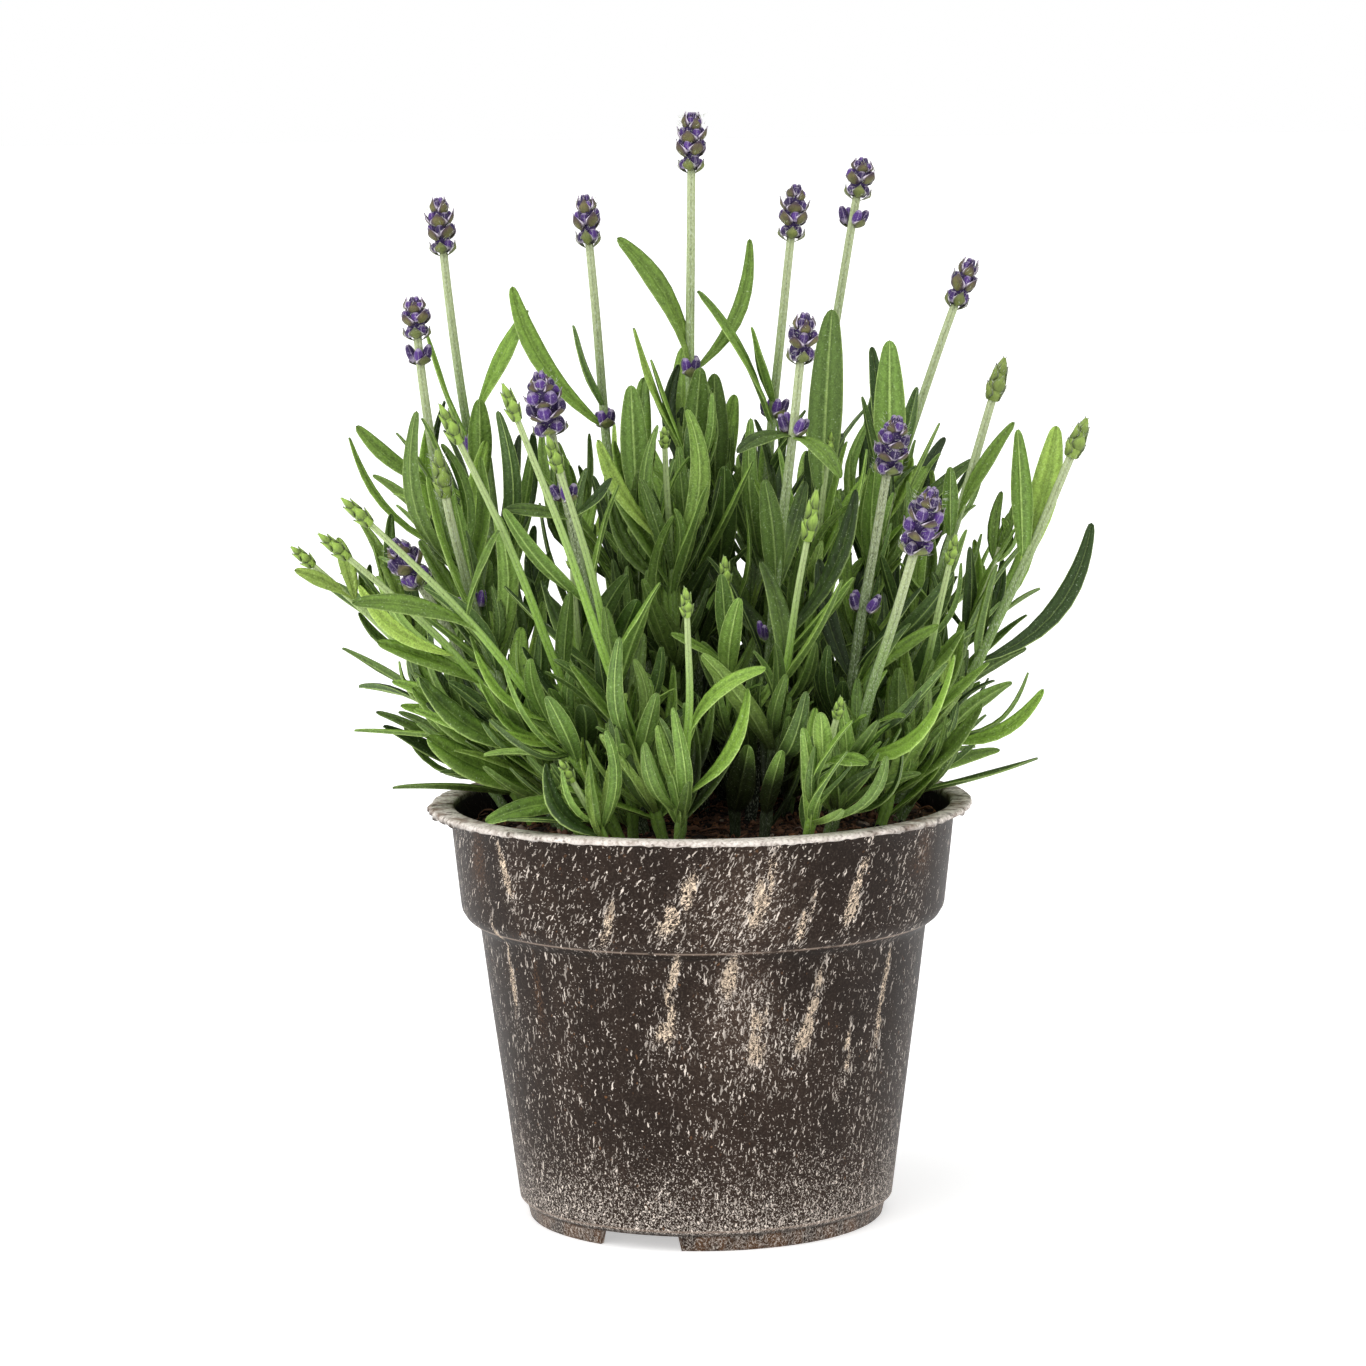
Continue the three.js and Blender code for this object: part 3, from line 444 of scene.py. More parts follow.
# Single leaves at their own places, for each stem: height of the root, tip, width, arch, and how far the
# face turns to the front, in degrees
PLACED_LEAVES = {
    "flowering_01": [(200, (-19, 8, 236), 5, 0.1, 60), (203, (13, 22, 235), 3, -0.16, 50)],
    "flowering_02": [(189, (-45, 24, 224), 4.4, -0.1, 60), (194, (-30, 12, 215), 3.4, -0.08, 50)],
    "flowering_03": [
        (182, (-66, 22, 213), 4, -0.04, 60), (186, (-41, 26, 218), 5.4, 0.03, 60),
        (174, (-53, 18, 197), 4.6, 0, 60),
    ],
    "flowering_04": [(176, (-82, 2, 192), 4, -0.06, 60), (164, (-66, -3, 194), 5, 0.08, 60)],
    "flowering_05": [(172, (-45, -38, 175), 3.4, 0.05, 50), (172, (-20, -36, 182), 3, -0.06, 50)],
    "flowering_06": [
        (188, (0, 8, 223), 5.2, 0.06, 60), (194, (13, 14, 214), 3.8, -0.04, 50),
        (178, (26, 10, 194), 3.6, 0, 50),
    ],
    "flowering_08": [
        (190, (9, -30, 187), 3.6, 0.12, 40), (190, (33, -32, 181), 3.6, 0.14, 40),
        (138, (37, -26, 178), 5.6, -0.1, 65), (127, (27, -34, 143), 7, -0.22, 60),
        (114, (27, -20, 121), 4, 0.08, 50),
    ],
    "flowering_09": [(178, (53, 14, 199), 3.6, 0, 50)],
    "flowering_10": [(128, (56, -30, 146), 4, 0.05, 60)],
    "flowering_11": [(117, (58, -62, 143), 7, -0.2, 65)],
    "flowering_13": [
        (163, (76, 4, 191), 4.4, 0.04, 60), (162, (60, -4, 181), 3, 0, 50),
        (146, (48, -2, 158), 4, -0.06, 50),
    ],
    "flowering_14": [
        (157, (76, -5, 190), 4.8, 0.02, 60), (157, (86, 6, 190), 5.4, -0.04, 65),
        (134, (95, 12, 166), 4, -0.17, 65), (134, (71, -8, 158), 5, 0.03, 60),
        (115, (82, -8, 128), 3.4, -0.16, 60),
    ],
    "flowering_12": [(107, (-69, -8, 130), 5, -0.04, 65)],
    "flowering_15": [(143, (-64, -22, 182), 5.4, -0.06, 65), (106, (-65, -22, 120), 7, -0.06, 65)],
    "budding_01": [(134, (-30, -42, 156), 3.6, 0.05, 60), (122, (-46, -50, 125), 3.4, -0.1, 50)],
    "budding_03": [
        (132, (-9, -52, 159), 6.6, 0.05, 65), (131, (-22, -46, 153), 3.6, 0, 50),
        (114, (-3, -46, 129), 4.4, 0.03, 60),
    ],
    "budding_04": [
        (147, (-80, -50, 155), 4.2, 0.08, 60), (150, (-46, -46, 171), 3.4, 0.04, 50),
        (126, (-52, -52, 144), 4, -0.14, 60), (105, (-50, -52, 104), 4.6, 0.08, 50),
    ],
    "budding_05": [
        (139, (-80, -30, 157), 4.2, -0.12, 60), (132, (-76, -26, 143), 4.2, 0.03, 60),
        (116, (-66, -30, 135), 5.4, -0.1, 65),
    ],
    "budding_06": [
        (150, (-97, -4, 158), 3.4, 0.04, 60), (150, (-87, 4, 165), 3, 0.04, 50),
        (113, (-68, 4, 125), 4.4, -0.04, 60),
    ],
    "budding_07": [(162, (-24, -10, 189), 4.6, -0.08, 60), (150, (2, -16, 178), 4.6, 0, 50)],
    "budding_08": [(109, (11, -55, 135), 4.2, -0.14, 60), (119, (15, -60, 140), 4, 0.16, 60)],
    "budding_09": [(136, (-7, -42, 146), 3.6, 0.04, 50), (139, (5, -44, 160), 3.6, 0, 50)],
    "budding_10": [(172, (32, -6, 219), 7.4, 0.02, 40)],
    "budding_11": [(117, (38, -62, 118), 3.4, 0.1, 50), (116, (27, -70, 131), 3.4, 0.03, 50)],
    "budding_12": [(129, (62, -30, 145), 6, 0, 65), (104, (66, -34, 128), 5, -0.06, 65)],
    "budding_15": [(100, (-36, -54, 118), 5, -0.2, 60)],
    "leafy_01": [
        (170, (46, 4, 211), 6, 0, 40), (172, (42, 14, 209), 3.6, 0, 40), (168, (39, -2, 198), 3, 0, 50),
    ],
    "leafy_02": [(170, (-16, 2, 201), 5.4, 0, 40), (168, (-13, 16, 202), 4.4, 0.04, 40)],
    "leafy_03": [(172, (4, 12, 203), 5.2, 0, 40), (170, (9, 26, 197), 4.4, 0, 40)],
}


# Random draws and directions

def seeded(seed):
    """Random numbers from 0 to 1 that come in the same order for the same seed, as in the part's source."""
    state = seed * SEED_FACTOR % DRAW_RANGE

    def draw():
        nonlocal state
        state = (state * DRAW_FACTOR + DRAW_STEP) % DRAW_RANGE
        return state / DRAW_RANGE

    return draw


def lerp(a, b, t):
    return (1 - t) * a + t * b


def shifted(point, *steps):
    """Point moved by pairs of a direction and a distance."""
    x, y, z = point
    for (dx, dy, dz), distance in steps:
        x, y, z = x + dx * distance, y + dy * distance, z + dz * distance
    return x, y, z


def combined(*steps):
    """Sum of directions, each times its distance."""
    return shifted((0, 0, 0), *steps)


def dot(a, b):
    return a[0] * b[0] + a[1] * b[1] + a[2] * b[2]


def cross(a, b):
    return a[1] * b[2] - a[2] * b[1], a[2] * b[0] - a[0] * b[2], a[0] * b[1] - a[1] * b[0]


def unit(a):
    length = math.sqrt(dot(a, a))
    return a[0] / length, a[1] / length, a[2] / length


def across(axis):
    """Two directions square to an axis, the first as near +X as it can be."""
    first = unit(shifted((1, 0, 0), (axis, -axis[0])))
    return first, cross(axis, first)


# Growth rule of the part's source, in millimetres

class Stem:
    """One stem, as a curve from its foot in the soil to its end."""

    LENGTH_STEPS = 200
    HALVINGS = 24

    def __init__(self, kind, index, number, foot, end, bow, leaf_top):
        self.kind = kind
        self.label = f"{index:02d}"
        self.name = f"{kind}_{self.label}"
        self.number = number
        self.start = (*foot, ROOT_Z)
        self.end = end
        middle = shifted(shifted(self.start, (end, 1)), (self.start, -0.5), (end, -0.5))
        self.control = shifted(middle, ((*bow, 0), 2))
        self.spin = 360 * seeded(number)()
        self.heights = pair_heights(leaf_top)
        self.whorl = 0
        self.head = None
        self.bud = 0
        self.leaves = []
        self.small_leaves = []

    def point(self, t):
        return combined((self.start, (1 - t) ** 2), (self.control, 2 * (1 - t) * t), (self.end, t * t))

    def tangent(self, t):
        return unit(combined((self.start, t - 1), (self.control, 1 - 2 * t), (self.end, t)))

    def length(self):
        points = [self.point(i / self.LENGTH_STEPS) for i in range(self.LENGTH_STEPS + 1)]
        return sum(math.dist(a, b) for a, b in zip(points, points[1:]))

    def share_at(self, z):
        """Where the stem reaches a height."""
        low, high = 0, 1
        for _ in range(self.HALVINGS):
            t = (low + high) / 2
            if self.point(t)[2] < z:
                low = t
            else:
                high = t
        return low


def pair_heights(leaf_top):
    """Heights of a stem's pairs of leaves, which stand further apart the higher they are."""
    heights = []
    z, spacing = FIRST_PAIR_Z, FIRST_PAIR_SPACING
    while z <= leaf_top:
        heights.append(z)
        z += spacing
        spacing += PAIR_SPACING_GROWTH
    return heights


def blade_share(s):
    """Blade width as a share of its widest: slim at the stem, widest past the middle, blunt tip."""
    return 0.24 + 0.76 * math.sin(math.pi * min(1, s * 1.02) ** 1.25) ** 0.8


class Leaf:
    """Blade from its root to its tip. Up is the side that faces the stem."""

    def __init__(self, root, tip, width, arch, sweep=0, roll=0):
        self.root = root
        self.tip = tip
        self.width = width
        self.arch = arch
        self.sweep = sweep
        self.roll = roll
        self.fullness = LEAF_FULLNESS
        chord = shifted(tip, (root, -1))
        self.length = math.sqrt(dot(chord, chord))
        self.chord = unit(chord)
        side = (-self.chord[1], self.chord[0], 0)
        self.side = unit(side) if dot(side, side) >= LEAF_UPRIGHT**2 else (0, 1, 0)
        self.up = cross(self.chord, self.side)

    def station(self, s):
        """Point on the rib, with the directions across the blade and out of its face."""
        hump = 4 * s * (1 - s) * self.length
        slope = 4 * (1 - 2 * s)
        lift, swing = self.arch * hump, self.sweep * hump
        point = shifted(self.root, (self.chord, s * self.length), (self.up, lift), (self.side, swing))
        along = unit(shifted(self.chord, (self.up, self.arch * slope), (self.side, self.sweep * slope)))
        width = unit(shifted(self.side, (along, -dot(self.side, along))))
        normal = cross(along, width)
        turn = self.roll * min(1, LEAF_ROLL_AT_ROOT + s)
        left = combined((width, math.cos(turn)), (normal, math.sin(turn)))
        face = combined((normal, math.cos(turn)), (width, -math.sin(turn)))
        return point, left, face


class Room:
    """Keeps every blade, stem and head apart from those of other stems, held as points with a radius."""

    CELL = 4
    STEP = 2
    STEM_RADIUS = 1.9
    HEAD_RADIUS = 1.6
    HEAD_SIDES = 8

    # How far from its root a blade takes room, and from where and by how much it may crowd its own stem's
    FROM = 2.5
    OWN_FROM = 7
    OWN_LESS = 0.7

    # Places across a wide and a narrow blade, as shares of its half width
    WIDE = (-0.9, -0.45, 0, 0.45, 0.9)
    NARROW = (-0.85, 0, 0.85)

    def __init__(self):
        self.cells = {}

    def take(self, points):
        for item in points:
            key = tuple(math.floor(value / self.CELL) for value in item[0])
            self.cells.setdefault(key, []).append(item)

    def is_free(self, points):
        return all(self.point_is_free(item) for item in points)

    def point_is_free(self, item):
        """Whether a point is above the soil and clear of all points in the cells round it."""
        (x, y, z), radius, owner, near_root = item
        if z < lowest_at(x, y):
            return False
        i, j, k = (math.floor(value / self.CELL) for value in (x, y, z))
        for di, dj, dk in itertools.product((-1, 0, 1), repeat=3):
            near = self.cells.get((i + di, j + dj, k + dk), ())
            for (ox, oy, oz), other_radius, other_owner, other_near_root in near:
                own = owner == other_owner
                if own and (near_root or other_near_root):
                    continue
                room = radius + other_radius - (self.OWN_LESS if own else 0)
                if (x - ox) ** 2 + (y - oy) ** 2 + (z - oz) ** 2 < room * room:
                    return False
        return True

    def of_blade(self, leaf, owner, clearance=BLADE_CLEARANCE):
        points = []
        rows = math.ceil(leaf.length / self.STEP)
        for row in range(1, rows + 1):
            s = row / rows
            if s * leaf.length < self.FROM:
                continue
            point, left, face = leaf.station(s)
            here = leaf.width * blade_share(s)
            near_root = s * leaf.length < self.OWN_FROM
            for offset in self.WIDE if here > 2 * self.STEP else self.NARROW:
                spot = shifted(point, (left, offset * here * 0.5), (face, BLADE_RISE * abs(offset)))
                points.append((spot, clearance / 2, owner, near_root))
        return points

    def of_stem(self, stem):
        steps = math.ceil(stem.length() / self.STEP)
        return [(stem.point(i / steps), self.STEM_RADIUS, stem.name, True) for i in range(steps + 1)]

    def of_head(self, stem, length, radius, owner):
        points = []
        axis = stem.tangent(1)
        first, second = across(axis)
        for row in range(math.floor((length + 1) / self.STEP) + 1):
            for i in range(self.HEAD_SIDES):
                angle = math.tau * i / self.HEAD_SIDES
                ring = (first, radius * math.cos(angle)), (second, radius * math.sin(angle))
                spot = shifted(stem.end, (axis, self.STEP * row), *ring)
                points.append((spot, self.HEAD_RADIUS, owner, False))
        return points


def soil_height(x, y):
    """Height of the soil: a low mound that rises to the right and the back."""
    out = min(1, math.hypot(x, y) / COLLAR_TOP_RADIUS)
    return SOIL_LEVEL + SOIL_MOUND * (1 - out * out) + SOIL_SLOPE * (x + y)


def lowest_at(x, y):
    """Lowest that a blade may be: clear of the soil, and of the rim further out."""
    if math.hypot(x, y) > COLLAR_CORNER[0]:
        return POT_HEIGHT + BLADE_THICKNESS
    return soil_height(x, y) + SOIL_CRUMB + BLADE_THICKNESS


def list_stems():
    """Stems without their leaves, numbered in the order of the lists above."""
    stems = []
    for index, (*curve, whorl, head) in enumerate(FLOWERING, 1):
        stem = Stem("flowering", index, len(stems) + 1, *curve)
        stem.whorl, stem.head = whorl, head
        stems.append(stem)
    for index, (*curve, bud) in enumerate(BUDDING, 1):
        stem = Stem("budding", index, len(stems) + 1, *curve)
        stem.bud = bud
        stems.append(stem)
    for index, curve in enumerate(LEAFY, 1):
        stems.append(Stem("leafy", index, len(stems) + 1, *curve))
    return stems


def place_leaf(stem, z, tip, width, arch, turn):
    """Single leaf from a height on its stem to its own tip."""
    root = stem.point(stem.share_at(z))
    out = unit((tip[0] - root[0], tip[1] - root[1], 0))
    leaf = Leaf(shifted(root, (out, -ROOT_DEPTH)), tip, width, arch)
    leaf.roll = math.radians(turn) * leaf.side[1]
    leaf.fullness = PLACED_LEAF_FULLNESS
    return leaf


def grow_leaf(room, stem, level, side, rank):
    """Leaf of a pair, at the first length, tilt and turn that have room. None where none has."""
    draw = seeded(stem.number * STEM_SEED_STEP + level * PAIR_SEED_STEP + side)
    z = stem.heights[level] + PAIR_HEIGHT_SPREAD * draw()
    share = min(1, (z - FIRST_PAIR_Z) / (LEAF_TALL_Z - FIRST_PAIR_Z))
    azimuth = stem.spin + level * 90 + side * 180 + LEAF_TURN_SPREAD * (draw() - 0.5)
    tilt = lerp(LEAF_TILT_LOW, LEAF_TILT_HIGH, share) + LEAF_TILT_SPREAD * (draw() - 0.5)
    full = lerp(LEAF_LENGTH_LOW, LEAF_LENGTH_HIGH, share) + LEAF_LENGTH_SPREAD * (draw() - 0.5)
    full = full - TOP_LEAF_LESS if rank == 0 else full
    width = full * (LEAF_SLIMNESS_LEAST + LEAF_SLIMNESS_SPREAD * draw())
    arch = lerp(LEAF_ARCH_LEAST, LEAF_ARCH_MOST, draw())
    sweep = LEAF_SWEEP_SPREAD * (draw() - 0.5)
    roll = math.radians(LEAF_ROLL_SPREAD * (draw() - 0.5))
    for less, more_tilt, more_turn in itertools.product(LEAF_SHORTENINGS, LEAF_MORE_TILTS, LEAF_MORE_TURNS):
        aim = (azimuth + more_turn, tilt + more_tilt)
        leaf = leaf_on_stem(stem, z, aim, (full * less, width * less), (arch, sweep, roll))
        taken = room.of_blade(leaf, stem.name)
        if room.is_free(taken):
            room.take(taken)
            return leaf
    return None


def leaf_on_stem(stem, z, aim, size, shape):
    """Leaf at a height on a stem, aimed by its turn round the stem and its tilt away from it, in degrees."""
    t = stem.share_at(z)
    axis = stem.tangent(t)
    first, second = across(axis)
    turn, tilt = (math.radians(value) for value in aim)
    out = combined((first, math.cos(turn)), (second, math.sin(turn)))
    heading = combined((axis, math.cos(tilt)), (out, math.sin(tilt)))
    root = shifted(stem.point(t), (out, -ROOT_DEPTH))
    return Leaf(root, shifted(root, (heading, size[0])), size[1], *shape)


# Small leaves, which only the looks have

def stays_bare(place):
    """Whether a place is in the dark gap in front, low over the soil that shows, or out of the bush."""
    x, y, z = place
    in_hollow = HOLLOW_LEFT < x < HOLLOW_RIGHT and y < 0 and z < HOLLOW_TOP
    hides_soil = math.hypot(x, y) > SHOWN_SOIL_FROM and z < SHOWN_SOIL_TO_Z
    return in_hollow or hides_soil or x < LEFTMOST or y > HINDMOST


def grow_small_leaf(room, stem, seed, foot, tuft):
    """Leaf between a pair's leaves and the stem, at the first try that has room."""
    tilts, lengths = tuft
    draw = seeded(SMALL_LEAF_SEED + stem.number * STEM_SEED_STEP + seed)
    for _ in range(SMALL_LEAF_TRIES):
        z = foot + lerp(*SMALL_LEAF_RISES, draw())
        azimuth = stem.spin + 90 * seed + SMALL_LEAF_TURN_SPREAD * (draw() - 0.5)
        aim = (azimuth, lerp(*tilts, draw()))
        length = lerp(*lengths, draw() ** SMALL_LEAF_SHORTNESS)
        size = (length, lerp(*SMALL_LEAF_WIDTHS, draw()) + SMALL_LEAF_WIDENING * length)
        arch = lerp(*SMALL_LEAF_ARCHES, draw())
        sweep = SMALL_LEAF_SWEEP_SPREAD * (draw() - 0.5)
        roll = SMALL_LEAF_ROLL_SPREAD * (draw() - 0.5)
        leaf = leaf_on_stem(stem, z, aim, size, (arch, sweep, roll))
        taken = room.of_blade(leaf, stem.name, SMALL_LEAF_CLEARANCE)
        if room.is_free(taken) and not stays_bare(leaf.tip):
            room.take(taken)
            stem.small_leaves.append(leaf)
            return


def grow_plant(tuft_leaves):
    """Stems with their leaves, by the rule of the part's source, and with tufts of small leaves."""
    stems = list_stems()
    room = Room()
    for stem in stems:
        room.take(room.of_stem(stem))
        if stem.head:
            room.take(room.of_head(stem, *stem.head, f"{stem.name}_head"))
        if stem.bud:
            room.take(room.of_head(stem, stem.bud, stem.bud / GREEN_BUD_SLIMNESS, stem.name))
    by_name = {stem.name: stem for stem in stems}
    for name, rows in PLACED_LEAVES.items():
        for row in rows:
            leaf = place_leaf(by_name[name], *row)
            room.take(room.of_blade(leaf, name))
            by_name[name].leaves.append(leaf)
    levels = max(len(stem.heights) for stem in stems)
    for rank in range(levels):
        for stem in stems:
            level = len(stem.heights) - 1 - rank
            if level < 0:
                continue
            grown = (grow_leaf(room, stem, level, side, rank) for side in (0, 1))
            stem.leaves += [leaf for leaf in grown if leaf]
    for stem in stems:
        grow_tufts(room, stem, tuft_leaves)
    return stems


def grow_tufts(room, stem, tuft_leaves):
    """Tufts of small leaves at a stem's pairs, and at the tip of a leafy shoot."""
    for level, foot in enumerate([LOW_TUFT_Z, *stem.heights]):
        if foot > BARE_FROM_Z and stem.point(stem.share_at(foot))[1] < BARE_BEFORE_Y:
            continue
        tuft = LOW_TUFT if foot < LOW_TUFTS_TO_Z else HIGH_TUFT
        for i in range(tuft_leaves):
            grow_small_leaf(room, stem, level * TUFT_SEED_STEP + i, foot, tuft)
    if stem.kind == "leafy":
        for i in range(TIP_TUFT_LEAVES):
            grow_small_leaf(room, stem, TIP_TUFT_SEED + i, stem.end[2] - TIP_TUFT_DEPTH, TIP_TUFT)


# Mesh forms

class Form:
    """Mesh under way. What is added to it comes from plain bmesh shapes, bent into place by a rule in mm."""

    def __init__(self):
        self.bm = bmesh.new()
        self.marks = {mark: self.bm.verts.layers.float.new(mark) for mark in MARKS}

    def sleeve(self, rows, sides, rule, finish=0):
        """Closed tube. rule(u, turn, wall) gives a spot's place and marks from how far along it is, its turn
        round the tube, and 1 on the wall or 0 at the middle of an end."""
        for vert in self.copy_of(plain_sleeve(rows, sides), finish):
            x, y, z = vert.co
            place, marks = rule(z + 0.5, math.atan2(y, x), round(math.hypot(x, y)))
            vert.co = Vector(place) * MM
            for mark, value in marks.items():
                vert[self.marks[mark]] = value

    def copy_of(self, shape, finish=0):
        """Adds a plain shape and returns its vertices."""
        self.bm.from_mesh(shape)
        self.bm.verts.ensure_lookup_table()
        self.bm.faces.ensure_lookup_table()
        for face in self.bm.faces[-len(shape.polygons):]:
            face.material_index = finish
        return self.bm.verts[-len(shape.vertices):]

    def piece(self, name, slot, finishes, replaced=()):
        """Closes the mesh as a finished piece that stands for the named CAD nodes."""
        piece = made(self.bm, name, finishes)
        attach(piece, "root")
        if replaced:
            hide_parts(*replaced)


def made(bm, name, finishes=()):
    """Object at the origin with the mesh that was under way."""
    mesh = bpy.data.meshes.new(name)
    bm.to_mesh(mesh)
    bm.free()
    for finish in finishes:
        mesh.materials.append(finish)
    piece = bpy.data.objects.new(name, mesh)
    bpy.context.scene.collection.objects.link(piece)
    return piece


@functools.cache
def plain_sleeve(rows, sides):
    """Cylinder of height 1 and radius 1 about Z, with its wall in rows."""
    bm = bmesh.new()
    bmesh.ops.create_cone(bm, cap_ends=True, cap_tris=True, segments=sides, radius1=1, radius2=1, depth=1)
    walls = [edge for edge in bm.edges if abs(edge.verts[0].co.z - edge.verts[1].co.z) > 0.5]
    bmesh.ops.subdivide_edges(bm, edges=walls, cuts=rows - 1)
    return plain_mesh(bm, "sleeve")


def plain_mesh(bm, name):
    """Smooth mesh to copy from."""
    for face in bm.faces:
        face.smooth = True
    mesh = bpy.data.meshes.new(name)
    bm.to_mesh(mesh)
    bm.free()
    return mesh


def plain_crumb():
    """Ball of radius 1 with few faces."""
    bm = bmesh.new()
    bmesh.ops.create_icosphere(bm, subdivisions=1, radius=1)
    return plain_mesh(bm, "crumb")


def plain_hair():
    """Spike of height 1 that stands on the XY plane, with a foot of radius 1."""
    bm = bmesh.new()
    stand = Matrix.Translation((0, 0, 0.5))
    bmesh.ops.create_cone(bm, cap_ends=True, segments=3, radius1=1, radius2=0, depth=1, matrix=stand)
    return plain_mesh(bm, "hair")


def signed_power(value, power):
    return math.copysign(abs(value) ** power, value)


def limited(value):
    """Value kept from 0 to 1."""
    return min(1, max(0, value))


# Leaves and stalks

def dressed_half(leaf, s):
    """Half width of a blade, with a tip that is rounder than the CAD blade's."""
    half = leaf.width * leaf.fullness * 0.5 * (0.17 + 0.83 * math.sin(math.pi * 0.96 * s**0.98) ** 0.8)
    from_tip = min(1, (1 - s) * leaf.length / (TIP_BLUNTNESS * half))
    return half * math.sqrt(max(0, 1 - (1 - from_tip) ** 2))


def add_blade(form, leaf, rows, sides, young, dice):
    """Leaf with a fold along its rib, a groove over the rib, a keel under it, and edges that roll down."""
    wave = dice * math.tau

    def rule(u, turn, wall):
        s = math.sin(u * math.pi / 2) ** 1.1
        point, left, face = leaf.station(s)
        offset = signed_power(math.cos(turn), 1.6) * wall
        upper = math.sin(turn) > -0.01
        half = dressed_half(leaf, s) * wall
        fold = (BLADE_RISE + BLADE_FOLD * half) * abs(offset) ** 1.2 * min(1, 4 * s * (1.1 - s) + 0.2)
        fold += BLADE_BULGE * half * math.sin(math.pi * abs(offset) ** 0.8) * min(1, 5 * s)
        fold += BLADE_WAVE * half * math.sin(8 * s + wave) * offset - BLADE_EDGE_ROLL * half * offset**6
        thick = BLADE_THIN * (1 - offset * offset) * wall * (1 - 0.5 * s)
        middle = abs(offset) < RIB_HALF_SHARE and 0 < s < 1
        if upper:
            height = fold + thick / 2 - (RIB_GROOVE if middle else 0)
        else:
            height = fold - thick / 2 - (RIB_KEEL * (1 - s) if middle else 0)
        place = shifted(point, (left, offset * half), (face, height * wall))
        marks = {"across": offset, "along": s, "under": 0 if upper else 1, "young": young, "dice": dice}
        return place, marks

    form.sleeve(rows, sides, rule, LEAF)


def add_stalk(form, stem, young):
    """Square stalk with round edges, a little wider where each pair of leaves leaves it."""
    rows = round(stem.length() / STALK_ROW)
    draw = seeded(stem.number)
    lean = draw() * math.tau

    def rule(u, turn, wall):
        point = stem.point(u)
        first, second = across(stem.tangent(u))
        swelling = sum(math.exp(-(((point[2] - z - 1) / NODE_REACH) ** 2)) for z in stem.heights)
        side = lerp(STEM_SIDE_FOOT, STEM_SIDE_END * STALK_END_SHARE[stem.kind], u)
        half = STALK_SHARE * side / 2 * (1 + NODE_SWELLING * swelling) * wall
        c, s = math.cos(turn), math.sin(turn)
        reach = half / (abs(c) ** STALK_SQUARENESS + abs(s) ** STALK_SQUARENESS) ** (1 / STALK_SQUARENESS)
        bend = STALK_WAVER * math.sin(u * math.pi) * math.sin(STALK_WAVES * u + lean)
        place = shifted(point, (first, reach * c + bend), (second, reach * s))
        marks = {"across": -math.cos(4 * turn), "along": u, "young": young, "dice": lean}
        return place, marks

    form.sleeve(rows, STALK_SIDES, rule, STALK)


# Heads and buds

class Whorls:
    """Places round an axis, for what grows on it: distance out, turn round and height up."""

    def __init__(self, base, axis):
        self.base = base
        self.axis = axis
        self.first, self.second = across(axis)

    def place(self, out, turn, up):
        ring = (self.first, out * math.cos(turn)), (self.second, out * math.sin(turn))
        return shifted(self.base, (self.axis, up), *ring)


def at_height(stem, z):
    """Places round a stem at a height."""
    t = stem.share_at(z)
    return Whorls(stem.point(t), stem.tangent(t))


def at_end(stem, up):
    """Places round a stem's axis from its end, or a little above or below it."""
    axis = stem.tangent(1)
    return Whorls(shifted(stem.end, (axis, up)), axis)


def shield(u):
    """Width of a bract or scale as a share of its widest: full below the middle, pointed at the tip."""
    return min(1, 0.55 + 1.5 * u) * (1 - max(0, (u - 0.42) / 0.58) ** 1.5)


def curved(u, offset):
    """How far up a bract or scale a spot is. Its sides lie lower than its middle."""
    return u - 0.16 * offset * offset * u


def add_bract(form, whorls, turn, foot, size, young, closing, start_share=BRACT_START_SHARE):
    """Broad bract that cups the buds: it leaves the axis, swells out and ends in a point that bends out, or
    in where it closes. Its size is its length, its reach from the axis and half the angle that it spans."""
    length, reach, half_angle = size
    start = max(BRACT_LEAST_START, start_share * reach)

    def rule(u, angle, wall):
        offset = math.cos(angle) * wall
        outer = 1 if math.sin(angle) < 0.01 else -1
        spread = half_angle * shield(u)
        out = start + (reach - start) * math.sin(math.pi / 2 * min(1, 1.6 * u)) ** 0.8
        out += reach * (0.14 * u**5 - 2 * closing * max(0, u - 0.5) - 0.08 * offset * offset)
        out += BRACT_THICKNESS / 2 * outer * (1 - offset * offset) * wall
        aside = offset * spread * (1 - 0.3 * u**3)
        under = 0 if outer > 0 else 1
        marks = {"across": offset, "along": u, "under": under, "young": young, "dice": turn % 1}
        return whorls.place(out, turn + aside, foot + length * curved(u, offset)), marks

    form.sleeve(BRACT_ROWS, BRACT_SIDES, rule, BRACT)


def add_scale(form, whorls, turn, foot, length, girth, young):
    """Pointed scale that lies on a closed bud. girth(up) is the bud's radius at a height."""

    def rule(u, angle, wall):
        offset = math.cos(angle) * wall
        outer = 1 if math.sin(angle) < 0.01 else 0
        spread = SCALE_HALF_ANGLE * shield(u)
        up = foot + length * curved(u, offset)
        plump = (0.12 + 0.3 * u + 0.25 * u**3) * (1 - 0.8 * offset * offset)
        out = girth(up) + plump + SCALE_THICKNESS * (outer - 0.8) * wall
        marks = {"across": 0.8 * offset, "along": u, "young": young, "dice": turn % 1}
        return whorls.place(max(0.05, out), turn + offset * spread, up), marks

    form.sleeve(BRACT_ROWS, BRACT_SIDES, rule, BRACT)


